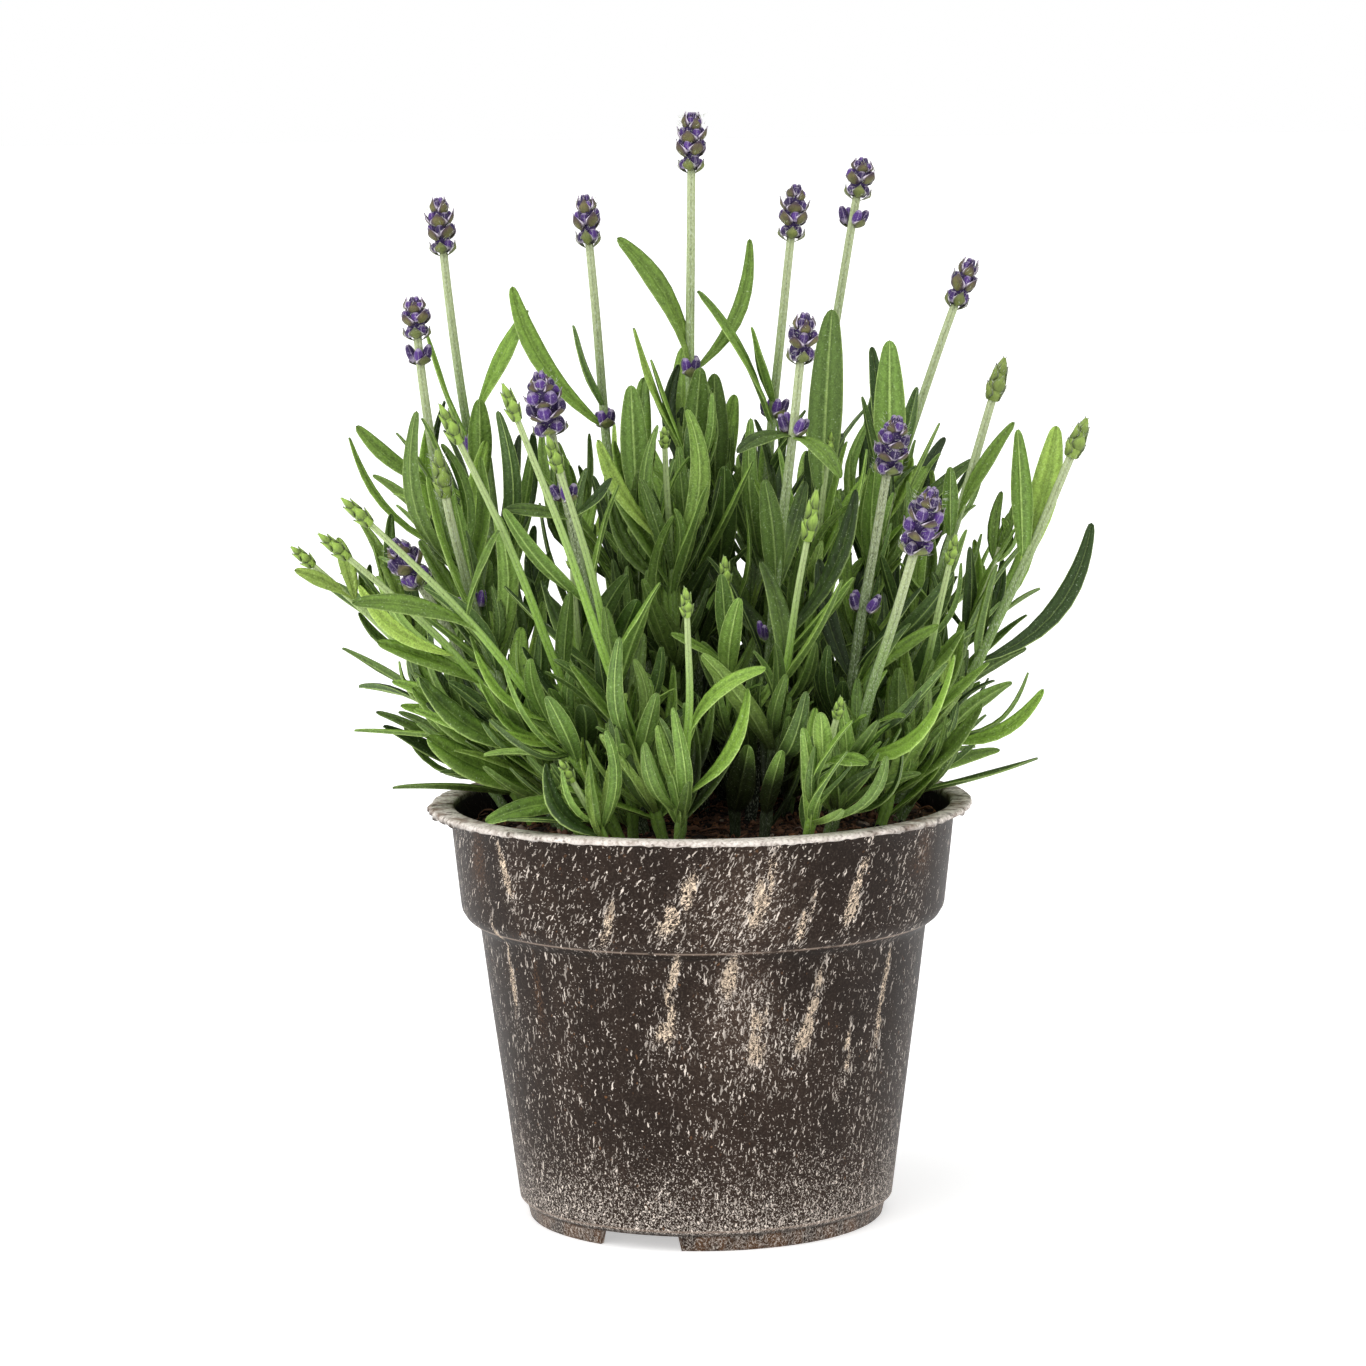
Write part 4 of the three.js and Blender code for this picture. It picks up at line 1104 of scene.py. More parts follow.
def add_bud(form, whorls, turn, foot, out, size, leaning):
    """Plump ribbed bud that leans away from the axis. Its size is its length and radius."""
    length, radius = size
    dice = (turn * 7.3 + foot) % 1
    lean = (whorls.first, leaning * math.cos(turn)), (whorls.second, leaning * math.sin(turn))
    tilted = Whorls(whorls.place(out, turn, foot), unit(shifted(whorls.axis, *lean)))

    def rule(u, angle, wall):
        plump = math.sin(math.pi * (0.08 + 0.84 * u) ** 0.85) ** 0.55
        rib = math.cos(BUD_RIBS * angle)
        out = radius * plump * (1 + BUD_RIB_RELIEF * rib) * wall
        return tilted.place(out, angle, length * u), {"across": rib, "along": u, "dice": dice}

    form.sleeve(BUD_ROWS, BUD_SIDES, rule, VIOLET)


def add_hairs(form, whorls, draw, length, reach):
    """Short white hairs that stand out from a head."""
    hair = plain_hair()
    for _ in range(round(HAIRS_PER_MM * length)):
        turn = math.tau * draw()
        up = length * draw()
        root = Vector(whorls.place(reach * lerp(*HAIR_ROOTS, draw()), turn, up))
        out = reach + HAIR_LENGTH * draw()
        tip = Vector(whorls.place(out, turn + 0.5 * (draw() - 0.5), up + HAIR_LENGTH))
        turned = (tip - root).to_track_quat("Z", "Y")
        for vert in form.copy_of(hair, VIOLET):
            x, y, z = vert.co
            spot = Vector((x * HAIR_WIDTH, y * HAIR_WIDTH, z * (tip - root).length))
            vert.co = (root + turned @ spot) * MM
            vert[form.marks["along"]] = HAIR_MARK
    bpy.data.meshes.remove(hair)


def add_core(form, whorls, length, girth, young):
    """Spindle that closes the inside of a head."""
    finish = BRACT if young >= CLOSED_YOUTH else VIOLET

    def rule(u, turn, wall):
        marks = {"across": 0, "along": 0.6, "young": young, "dice": 0.1}
        return whorls.place(girth(length * u) * wall, turn, length * u), marks

    form.sleeve(CORE_ROWS, CORE_SIDES, rule, finish)


def add_closed_head(form, whorls, length, radius, young):
    """Head that is still closed: a spindle under pairs of scales."""

    def girth(up):
        return radius * math.sin(math.pi * (0.12 + 0.84 * limited(up / length)) ** 0.72) ** 0.8

    add_core(form, whorls, length, girth, young)
    for i in range(SCALE_TIERS):
        for side in (0, 1):
            turn = FIRST_SCALE_TURN + math.pi * (side + i / 2)
            foot = length * (0.02 + 0.62 * i / (SCALE_TIERS - 1))
            add_scale(form, whorls, turn, foot, SCALE_LENGTH_SHARE * length, girth, young)


class Tier:
    """One tier of a head: two pairs of bracts, the second a little higher, with violet buds in the gaps."""

    def __init__(self, foot, step, reach, spin):
        self.foot = foot
        self.step = step
        self.reach = reach
        self.spin = spin

    def add(self, form, whorls, draw, young, openness, closing, start_share=BRACT_START_SHARE):
        leaning = lerp(*BUD_LEANINGS, openness) - 0.4 * closing
        for i in range(4):
            turn = self.spin + i * math.pi / 2
            rise = self.foot + (UPPER_PAIR_RISE * self.step if i % 2 else 0)
            length = self.step * lerp(*BRACT_LENGTHS, draw()) * lerp(*BRACT_LENGTH_SHARES, openness)
            size = (length, self.reach * lerp(*BRACT_REACHES, draw()), lerp(*BRACT_HALF_ANGLES, openness))
            add_bract(form, whorls, turn, rise, size, young, closing, start_share)
            beside = turn + math.pi / 4 + lerp(*BUD_TURNS, draw())
            tall = self.step * lerp(*BUD_LENGTHS, draw()) * lerp(*BUD_LENGTH_SHARES, openness)
            bud = (tall * (1 - 0.6 * closing), self.reach * lerp(*BUD_RADIUS_SHARES, openness))
            up = rise + lerp(*BUD_FEET, openness) * self.step
            add_bud(form, whorls, beside, up, BUD_OUT * self.reach, bud, leaning)


def add_open_head(form, whorls, draw, size, young, openness):
    """Flower head: tiers of bracts and buds round an axis, which close in a dome."""
    length, radius = size
    spin = math.pi * draw()
    shares = TIER_SHARES[4 if length > TALL_HEAD else 3]
    tiers = len(shares)
    step = length / (tiers + 0.5)

    def girth(up):
        return 0.6 * radius * math.sin(math.pi * (0.06 + 0.88 * up / length)) ** 0.6

    add_core(form, whorls, 0.94 * length, girth, young)
    for i, share in enumerate(shares):
        tier = Tier(step * i, step, radius * share, spin + i * math.pi / 4)
        if i == 0:
            tier.foot -= CUP_DEPTH
            wider = max(CUP_OPENNESS, openness)
            tier.add(form, whorls, draw, CUP_YOUTH, wider, CUP_CLOSING, CUP_START_SHARE)
        else:
            closing = TOP_TIER_CLOSING if i == tiers - 1 else TIER_CLOSING
            tier.add(form, whorls, draw, young, openness, closing)
    top = step * (tiers - DOME_SINK)
    bract = (DOME_LENGTH * step, DOME_BRACT_REACH * radius, DOME_BRACT_HALF_ANGLE)
    bud = (DOME_LENGTH * step, DOME_BUD_RADIUS * radius)
    for i in range(4):
        turn = spin + i * math.pi / 2
        add_bract(form, whorls, turn, top - DOME_BRACT_SINK * step, bract, young, DOME_CLOSING)
        add_bud(form, whorls, turn + DOME_BUD_TURN, top, DOME_BUD_OUT * radius, bud, DOME_BUD_LEANING)


def build_head(stem, finishes):
    """Flower head at the end of a flowering stem, open or still closed, with its hairs."""
    form = Form()
    length, radius = stem.head
    whorls = at_end(stem, HEAD_GAP - HEAD_SUNK)
    draw = seeded(HEAD_SEED + stem.number)
    young, openness = HEAD_YOUTH[stem.number - 1], HEAD_OPENNESS[stem.number - 1]
    if young >= CLOSED_YOUTH:
        add_closed_head(form, whorls, length + CLOSED_LONGER, CLOSED_SHARE * radius, young)
    else:
        add_open_head(form, whorls, draw, (length + OPEN_LONGER, radius), young, openness)
    add_hairs(form, whorls, draw, length, HAIR_REACH * radius)
    name = f"flower_head_{stem.label}"
    form.piece(f"{name}_florets", "flower", finishes, [name])


def add_green_bud(form, stem):
    """Young head at a budding stem's end, with its bracts still closed."""
    radius = GREEN_BUD_WIDENING * stem.bud + GREEN_BUD_LEAST_RADIUS
    add_closed_head(form, at_end(stem, -GREEN_BUD_SUNK), stem.bud + GREEN_BUD_LONGER, radius, 1)


def add_whorl(form, stem, draw):
    """Whorl of buds on the stalk, apart from the head."""
    whorls = at_height(stem, stem.whorl)
    bract = (WHORL_BRACT_LENGTH * WHORL_LENGTH, WHORL_RADIUS, WHORL_HALF_ANGLE)
    for side in (0, math.pi):
        turn = math.radians(stem.spin) + side
        add_bract(form, whorls, turn, WHORL_BRACT_FOOT, bract, WHORL_YOUTH, 0)
        for i in (-1, 1):
            bud = (WHORL_LENGTH * lerp(*WHORL_BUD_LENGTHS, draw()), WHORL_BUD_RADIUS)
            beside = turn + WHORL_BUD_TURN * i
            add_bud(form, whorls, beside, WHORL_BUD_FOOT, WHORL_BUD_OUT, bud, WHORL_BUD_LEANING)


def add_axil_buds(form, stem, draw):
    """Two pairs of small buds on opposite sides of a stalk."""
    z, spin = AXIL_BUDS[stem.name]
    whorls = at_height(stem, z)
    for side in (spin, spin + math.pi):
        for turn in (side, side + AXIL_BUD_TURN):
            bud = (lerp(*AXIL_BUD_LENGTHS, draw()), AXIL_BUD_RADIUS)
            add_bud(form, whorls, turn, 0, AXIL_BUD_OUT, bud, AXIL_BUD_LEANING)


def build_shoot(stem, finishes):
    """Stalk with its leaves, and with its green bud, whorl or small buds."""
    form = Form()
    draw = seeded(SHOOT_SEED + stem.number)
    fresh = 0 if stem.name in OLD_STALKS else FRESHNESS[stem.kind]
    add_stalk(form, stem, fresh)
    for leaf in stem.leaves:
        height = limited((leaf.root[2] - FIRST_PAIR_Z) / YOUTH_REACH)
        young = limited(0.6 * fresh + 0.25 * height + 0.3 * (draw() - 0.4))
        add_blade(form, leaf, BLADE_ROWS, BLADE_SIDES, young, draw())
    for leaf in stem.small_leaves:
        young = limited(0.18 + 0.5 * fresh + 0.4 * (draw() - 0.4))
        fine = leaf.length > SMALL_LEAF_FINE
        rows, sides = (BLADE_ROWS, BLADE_SIDES) if fine else (SMALL_ROWS, SMALL_SIDES)
        add_blade(form, leaf, rows, sides, young, draw())
    if stem.bud:
        add_green_bud(form, stem)
    if stem.whorl:
        add_whorl(form, stem, draw)
    if stem.name in AXIL_BUDS:
        add_axil_buds(form, stem, draw)
    form.piece(f"{stem.name}_shoot", "foliage", finishes, [f"{stem.name}_stem"])


# Pot

def stretched(profile, longest):
    """Profile with more points, so that no stretch of it is longer than this."""
    points = [profile[0]]
    for a, b in zip(profile, profile[1:]):
        parts = math.ceil(math.dist(a, b) / longest)
        points += [(lerp(a[0], b[0], i / parts), lerp(a[1], b[1], i / parts)) for i in range(1, parts + 1)]
    return points


def spun(bm, profile, steps):
    """Turns a profile of radius and height, in mm, about Z into a closed shell. The layer path keeps how far
    each place is along the profile."""
    path = bm.verts.layers.float.new("path")
    verts = [bm.verts.new((radius * MM, 0, z * MM)) for radius, z in profile]
    for i, vert in enumerate(verts):
        vert[path] = verts[i - 1][path] + math.dist(profile[i - 1], profile[i]) if i else 0
    edges = [bm.edges.new(pair) for pair in zip(verts, verts[1:])]
    turn = {"cent": (0, 0, 0), "axis": (0, 0, 1), "angle": math.tau, "steps": steps}
    bmesh.ops.spin(bm, geom=verts + edges, use_merge=True, **turn)
    bmesh.ops.remove_doubles(bm, verts=bm.verts, dist=0.01 * MM)
    bmesh.ops.recalc_face_normals(bm, faces=bm.faces)
    for face in bm.faces:
        face.smooth = True


def pot_profile():
    """Half section of the pot, from the middle of its underside round the wall to the middle of its floor.
    Small steps round its corners."""
    inner_top = COLLAR_TOP_RADIUS - WALL_THICKNESS
    rim_under = POT_HEIGHT - RIM_THICKNESS
    floor = FLOOR_UNDERSIDE + FLOOR_THICKNESS
    ring = FOOT_RADIUS - FOOT_RING_WIDTH
    return [
        (0, FLOOR_UNDERSIDE), (ring - 0.4, FLOOR_UNDERSIDE), (ring, FLOOR_UNDERSIDE - 0.4), (ring, 0.3),
        (ring + 0.3, 0), (FOOT_RADIUS - 0.3, 0), (FOOT_RADIUS, 0.3), (FOOT_RADIUS + 0.8, 3.7),
        (FOOT_RADIUS + 1.2, 4.2), (WALL_FOOT[0] - 0.5, 4.5), WALL_FOOT, (WALL_FOOT[0] + 0.15, 6.2),
        (WALL_TOP[0] - 0.15, WALL_TOP[1] - 0.8), (WALL_TOP[0] + 0.3, WALL_TOP[1] + 0.1),
        (COLLAR_CORNER[0] - 0.3, COLLAR_CORNER[1] - 0.1), (COLLAR_CORNER[0] + 0.5, COLLAR_CORNER[1] + 0.6),
        (COLLAR_FOOT[0] - 0.25, COLLAR_FOOT[1] - 1), COLLAR_FOOT, (COLLAR_TOP_RADIUS - 0.1, rim_under - 0.6),
        (COLLAR_TOP_RADIUS + 0.4, rim_under), (RIM_RADIUS - 0.4, rim_under), (RIM_RADIUS, rim_under + 0.4),
        (RIM_RADIUS, POT_HEIGHT - 0.5), (RIM_RADIUS - 0.4, POT_HEIGHT), (RIM_INNER_RADIUS + 0.5, POT_HEIGHT),
        (RIM_INNER_RADIUS, POT_HEIGHT - 0.4), (inner_top, rim_under - 0.4),
        (COLLAR_FOOT[0] - WALL_THICKNESS, COLLAR_FOOT[1]),
        (COLLAR_CORNER[0] - WALL_THICKNESS, COLLAR_CORNER[1] + WALL_THICKNESS),
        (WALL_TOP[0] - WALL_THICKNESS, WALL_TOP[1] + WALL_THICKNESS / 2),
        (WALL_FOOT[0] - WALL_THICKNESS, floor + 0.6), (WALL_FOOT[0] - WALL_THICKNESS - 0.6, floor),
        (0, floor),
    ]


def degrees_off(turn, middle):
    """How far a turn in radians is from a middle in degrees."""
    return (math.degrees(turn) - middle + 180) % 360 - 180


def ragged(co):
    """Moves a spot of the rim or the foot off its true circle, as the moulding left it."""
    radius, turn = math.hypot(co.x, co.y) / MM, math.atan2(co.y, co.x)
    z = co.z / MM
    round_turn = Vector((math.cos(turn), math.sin(turn), 0))
    wobble = 0.12 * noise.noise(round_turn * 3 + Vector((0, 0, z * 0.05)))
    if radius > COLLAR_TOP_RADIUS and z > POT_HEIGHT - RIM_THICKNESS - 0.5:
        outer = (radius - COLLAR_TOP_RADIUS) / (RIM_RADIUS - COLLAR_TOP_RADIUS)
        flash = math.exp(-((degrees_off(turn, FLASH_MIDDLE) / FLASH_SPREAD) ** 2))
        frayed = noise.noise(round_turn * 70) + 0.6 * noise.noise(round_turn * 28)
        wobble += outer * (0.25 * frayed + flash * (0.6 + 0.9 * frayed))
        lower = 1 if z < POT_HEIGHT - RIM_THICKNESS / 2 else 0
        drip = max(0, noise.noise(round_turn * 22 + Vector((5, 0, 0)))) + 0.25 * frayed
        z += outer * (0.35 * noise.noise(round_turn * 2.4) - lower * (0.9 * drip + 0.5 * flash))
    notched = any(abs(degrees_off(turn, middle)) < NOTCH_ANGLE / 2 for middle in NOTCH_MIDDLES)
    if notched and radius > DRAIN_RING_RADIUS + DRAIN_HOLE_RADIUS:
        z = max(z, NOTCH_HEIGHT + 0.15 * noise.noise(round_turn * 30))
    return Vector((math.cos(turn) * (radius + wobble), math.sin(turn) * (radius + wobble), z)) * MM


def build_pot(finish):
    """Pot shell with its drain holes. The map around holds how far round and along the profile a spot is."""
    bm = bmesh.new()
    spun(bm, stretched(pot_profile(), POT_ROW), POT_STEPS)
    for vert in bm.verts:
        if math.hypot(vert.co.x, vert.co.y) > MM:
            vert.co = ragged(vert.co)
    around = bm.loops.layers.uv.new("around")
    path = bm.verts.layers.float["path"]
    for face in bm.faces:
        middle = face.calc_center_median()
        home = math.atan2(middle.x, -middle.y)
        for loop in face.loops:
            x, y, _ = loop.vert.co
            turn = math.atan2(x, -y) if math.hypot(x, y) > MM else home
            turn += math.tau * round((home - turn) / math.tau)
            loop[around].uv = (turn * COLLAR_CORNER[0], loop.vert[path])
    piece = made(bm, "pot_shell", [finish])
    drill(piece)
    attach(piece, "root")
    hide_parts("pot")


def drill(piece):
    """Cuts the drain holes through the floor."""
    bm = bmesh.new()
    places = [(0, 0)]
    for middle in NOTCH_MIDDLES:
        turn = math.radians(middle)
        places.append((DRAIN_RING_RADIUS * math.cos(turn), DRAIN_RING_RADIUS * math.sin(turn)))
    radius = DRAIN_HOLE_RADIUS * MM
    for x, y in places:
        middle = Matrix.Translation(Vector((x, y, FLOOR_UNDERSIDE + FLOOR_THICKNESS / 2)) * MM)
        bmesh.ops.create_cone(bm, cap_ends=True, segments=DRAIN_HOLE_SIDES, radius1=radius, radius2=radius,
                              depth=3 * FLOOR_THICKNESS * MM, matrix=middle)
    drills = made(bm, "drills")
    cut = piece.modifiers.new("drain holes", "BOOLEAN")
    cut.object = drills
    cut.operation = "DIFFERENCE"
    cut.solver = "EXACT"
    shaped = piece.evaluated_get(bpy.context.evaluated_depsgraph_get())
    piece.data = bpy.data.meshes.new_from_object(shaped)
    piece.modifiers.clear()
    bpy.data.objects.remove(drills)


# Soil

def soil_relief(x, y):
    """Height of a spot of the soil, with its lumps and crumbs."""
    spot = Vector((x, y, 0))
    lumps = 1.5 * noise.noise(spot * 0.09) + 0.9 * noise.noise(spot * 0.28)
    crumbs = 0.55 * noise.noise(spot * 0.8) + 0.35 * abs(noise.noise(spot * 1.7))
    return soil_height(x, y) - 0.4 + 0.8 * lumps + crumbs


def build_soil(finish):
    """Soil that fills the pot, with a rough top."""
    form = Form()
    inset = SOIL_EDGE_GAP + WALL_THICKNESS
    share = (SOIL_LEVEL - COLLAR_CORNER[1]) / (POT_HEIGHT - RIM_THICKNESS - COLLAR_CORNER[1])
    edge = lerp(COLLAR_CORNER[0], COLLAR_TOP_RADIUS, share) - inset
    floor = FLOOR_UNDERSIDE + FLOOR_THICKNESS + 0.3
    sides = [
        (0, floor), (WALL_FOOT[0] - inset, floor), (WALL_TOP[0] - inset, WALL_TOP[1]),
        (COLLAR_CORNER[0] - inset, COLLAR_CORNER[1] + 3), (edge, SOIL_LEVEL),
    ]
    top = stretched([(edge, SOIL_LEVEL), (0, SOIL_LEVEL)], SOIL_ROW)
    spun(form.bm, sides + top[1:], SOIL_STEPS)
    for vert in form.bm.verts:
        if vert.co.z > (SOIL_LEVEL - 0.01) * MM:
            vert.co.z = soil_relief(vert.co.x / MM, vert.co.y / MM) * MM
    form.piece("soil_bed", "soil", [finish], ["soil"])


def scattered(picks, limit):
    """Random place on the soil, no further from the middle than this."""
    out, turn = limit * math.sqrt(picks.random()), math.tau * picks.random()
    return out * math.cos(turn), out * math.sin(turn)


def build_crumbs(finish):
    """Crumbs, bark chips and fibres on top of the soil. The mark dice picks each one's colour."""
    form = Form()
    dice = form.marks["dice"]
    crumb = plain_crumb()
    picks = random.Random(LITTER_SEED)
    limit = COLLAR_TOP_RADIUS - LITTER_EDGE_GAP
    for i in range(CRUMB_COUNT + CHIP_COUNT):
        chip = i >= CRUMB_COUNT
        x, y = scattered(picks, limit)
        size = picks.uniform(*CHIP_SIZES) if chip else lerp(*CRUMB_SIZES, picks.random() ** 3)
        slim = picks.uniform(*CRUMB_FLATNESS)
        flat = Matrix.Diagonal((1, slim, CHIP_HEIGHT if chip else picks.uniform(*CRUMB_HEIGHTS), 1))
        turned = Matrix.Rotation(math.tau * picks.random(), 4, "Z")
        tipped = Matrix.Rotation(picks.uniform(-CRUMB_TIPPING, CRUMB_TIPPING), 4, "X")
        middle = Vector((x, y, soil_relief(x, y) + 0.25 * size))
        colour = picks.random()
        for vert in form.copy_of(crumb):
            dent = Vector([picks.uniform(-CRUMB_DENT, CRUMB_DENT) for _ in range(3)])
            vert.co = (middle + (turned @ tipped @ flat @ vert.co + dent) * size) * MM
            vert[dice] = colour
    for _ in range(FIBRE_COUNT):
        add_fibre(form, picks, limit)
    bpy.data.meshes.remove(crumb)
    form.piece("soil_crumbs", "soil", [finish])


def add_fibre(form, picks, limit):
    """Thin fibre that lies on the soil in a bow and lifts off it in the middle."""
    x, y = scattered(picks, limit)
    heading, curl = math.tau * picks.random(), picks.uniform(-FIBRE_CURL, FIBRE_CURL)
    length, thick = picks.uniform(*FIBRE_LENGTHS), picks.uniform(*FIBRE_RADII)
    lift, colour = picks.uniform(*FIBRE_LIFTS), picks.random()

    def rule(u, angle, wall):
        along = heading + curl * u
        cx = x + length * (u - 0.5) * math.cos(along)
        cy = y + length * (u - 0.5) * math.sin(along)
        reach = math.hypot(cx, cy)
        if reach > limit:
            cx, cy = cx * limit / reach, cy * limit / reach
        z = soil_relief(cx, cy) + 0.3 + lift * math.sin(math.pi * u)
        side, up = thick * wall * math.cos(angle), thick * wall * math.sin(angle)
        return (cx - side * math.sin(along), cy + side * math.cos(along), z + up), {"dice": colour}

    form.sleeve(FIBRE_ROWS, FIBRE_SIDES, rule)


# Nodes of the finishes

class Value:
    """Output of a shader node. An expression on such values adds its Math nodes."""

    def __init__(self, board, socket):
        self.board = board
        self.socket = socket

    def math(self, operation, *values, clamp=False):
        return self.board.node("Math", dict(enumerate(values)), operation=operation, use_clamp=clamp)

    def __add__(self, other):
        return self.math("ADD", self, other)

    def __radd__(self, other):
        return self.math("ADD", other, self)

    def __sub__(self, other):
        return self.math("SUBTRACT", self, other)

    def __rsub__(self, other):
        return self.math("SUBTRACT", other, self)

    def __mul__(self, other):
        return self.math("MULTIPLY", self, other)

    def __rmul__(self, other):
        return self.math("MULTIPLY", other, self)

    def __truediv__(self, other):
        return self.math("DIVIDE", self, other)

    def __pow__(self, other):
        return self.math("POWER", self, other)

    def __lt__(self, other):
        return self.math("LESS_THAN", self, other)

    def __gt__(self, other):
        return self.math("GREATER_THAN", self, other)

    def __abs__(self):
        return self.math("ABSOLUTE", self)

    def clamped(self):
        return self.math("ADD", self, 0, clamp=True)

    def sine(self):
        return self.math("SINE", self)

    def exponent(self):
        return self.math("EXPONENT", self)

    def higher(self, other):
        return self.math("MAXIMUM", self, other)


class Board:
    """Node tree of a material or a world."""

    def __init__(self, owner):
        owner.use_nodes = True
        self.owner = owner
        self.tree = owner.node_tree
        self.tree.nodes.clear()

    def node(self, kind, sockets, output=0, **settings):
        """Adds a node: first its settings, then the values or links of its sockets. Returns one output."""
        node = self.tree.nodes.new(f"ShaderNode{kind}")
        for name, setting in settings.items():
            setattr(node, name, setting)
        for key, value in sockets.items():
            if isinstance(value, Value):
                self.tree.links.new(value.socket, node.inputs[key])
            else:
                node.inputs[key].default_value = value
        return None if output is None else Value(self, node.outputs[output])

    def mark(self, name):
        """What a piece keeps for its finish under this name."""
        return self.node("Attribute", {}, "Fac", attribute_name=name)

    def place(self):
        return self.node("TexCoord", {}, "Object")

    def vector(self, operation, *values, output=0):
        return self.node("VectorMath", dict(enumerate(values)), output, operation=operation)

    def scaled(self, spot, x, y, z):
        return self.vector("MULTIPLY", spot, (x, y, z))

    def along(self, axis, spot):
        return self.node("SeparateXYZ", {0: spot}, axis)

    def out(self, spot):
        """How far a place is from the pot's axis, in millimetres."""
        return self.vector("LENGTH", self.scaled(spot, 1, 1, 0), output="Value") / MM

    def noise(self, spot, scale, detail=2.0, output="Fac", flat=False):
        """Soft noise about the middle of its range, from a place in space or on a flat map."""
        sockets = {"Vector": spot, "Scale": scale, "Detail": detail}
        return self.node("TexNoise", sockets, output, noise_dimensions="2D" if flat else "3D")

    def step(self, value, low, high):
        """Smooth step from 0 at low to 1 at high."""
        sockets = {"Value": value, "From Min": low, "From Max": high}
        return self.node("MapRange", sockets, interpolation_type="SMOOTHSTEP")

    def mix(self, share, a, b, blend="MIX"):
        """Colour between two, by the share of the second."""
        sockets = {0: share, 6: paint(a), 7: paint(b)}
        return self.node("Mix", sockets, 2, data_type="RGBA", blend_type=blend)

    def daylight(self, spot):
        """Share of the light that reaches a place inside the bush and in the hollow at its front."""
        height = self.along("Z", spot) / MM
        aside = abs(self.along("X", spot) / MM - SHADE_MIDDLE)
        behind = self.step(self.along("Y", spot) / MM, *SHADE_FRONT)
        inside = (1 - self.step(self.out(spot), *BUSH_OUT)) * (1 - self.step(height, *BUSH_UP))
        hollow = (1 - self.step(aside, *SHADE_ASIDE)) * (1 - self.step(height, *SHADE_UP)) * behind
        return 1 - (BUSH_DARKNESS * inside).higher(SHADE_DARKNESS * hollow)

    def shaded(self, colour, light):
        """Colour made darker or lighter by a share of light."""
        grey = self.node("CombineColor", {0: light, 1: light, 2: light})
        return self.mix(1.0, colour, grey, "MULTIPLY")

    def surface(self, colour, roughness, bump=None, depth=FINE_RELIEF, **constants):
        """Ends the tree of a material in one shader and returns the material."""
        sockets = {"Base Color": paint(colour), "Roughness": roughness, **constants}
        if bump:
            sockets["Normal"] = self.node("Bump", {"Height": bump, "Distance": depth}, "Normal")
        self.end("OutputMaterial", self.node("BsdfPrincipled", sockets, "BSDF"))
        return self.owner

    def end(self, kind, shader):
        self.node(kind, {"Surface": shader}, None)


def new_board(name):
    return Board(bpy.data.materials.new(name))


def tint(red, green, blue):
    """Screen colour from 0 to 255 as the renderer's own."""

    def linear(value):
        value /= 255
        return value / 12.92 if value <= 0.04045 else ((value + 0.055) / 1.055) ** 2.4

    return linear(red), linear(green), linear(blue)


def paint(colour):
    """Plain colour as a socket takes it. What a node gives stays as it is."""
    return colour if isinstance(colour, Value) else (*colour, 1)


# Finishes of the plant

def leaf_finish(name, plant):
    """Felted leaf: older to younger green, a pale rib, a painted highlight on its edge, painted shade beside
    the rib, on its rolled margin and inside the bush, and white specks.
    """
    board = new_board(name)
    spot = board.place()
    across, along, under = board.mark("across"), board.mark("along"), board.mark("under")
    young, dice = board.mark("young"), board.mark("dice")
    grain = board.noise(spot, LEAF_GRAIN)
    patch = board.noise(spot, LEAF_PATCH)
    age = young + 0.35 * (patch - 0.5) + 0.9 * (dice - 0.5) - 0.15 * along
    green = board.mix(board.step(age, -0.15, 0.42), plant.old_leaf, plant.leaf)
    green = board.mix(board.step(age, 0.55, 1.15), green, plant.young_leaf)
    green = board.mix(under * 0.5, green, plant.underside)
    rib = 1 - board.step(abs(across), 0.02, 0.1)
    # Painted shade beside the rib, where the blade folds along it.
    beside = board.step(abs(across), 0.05, 0.14) * (1 - board.step(abs(across), 0.14, 0.45))
    # Painted highlight: the edge of the blade lighter in the rib's colour, where its rolled margin catches
    # the light.
    edge = board.step(abs(across), 0.84, 0.97)
    vein = (along * 70 - abs(across) * 10).sine()
    green = board.mix(rib * (0.16 + 0.45 * under), green, plant.rib)
    green = board.mix(edge * 0.65, green, plant.rib)
    # Painted shade on the margin, where it rolls down.
    rolled_edge_shade = board.step(abs(across), 0.45, 0.8) * (1 - edge)
    mottle = board.noise(spot, LEAF_MOTTLE)
    shade = 0.86 + 0.8 * (grain - 0.5) + 0.4 * grain + 0.5 * (mottle - 0.5) + 0.04 * vein
    shade = (shade - 0.3 * beside - 0.22 * rolled_edge_shade) * (1 + 0.28 * (dice * 47).sine())
    green = board.shaded(green, shade * board.daylight(spot))
    speck = board.step(grain, 0.64, 0.74)
    green = board.mix(speck * 0.36, green, plant.felt)
    height = grain * 0.6 + rib * 0.2 + vein * 0.12
    return board.surface(green, 0.46 + 0.15 * grain, height, LEAF_RELIEF, **{"Specular IOR Level": 0.35})


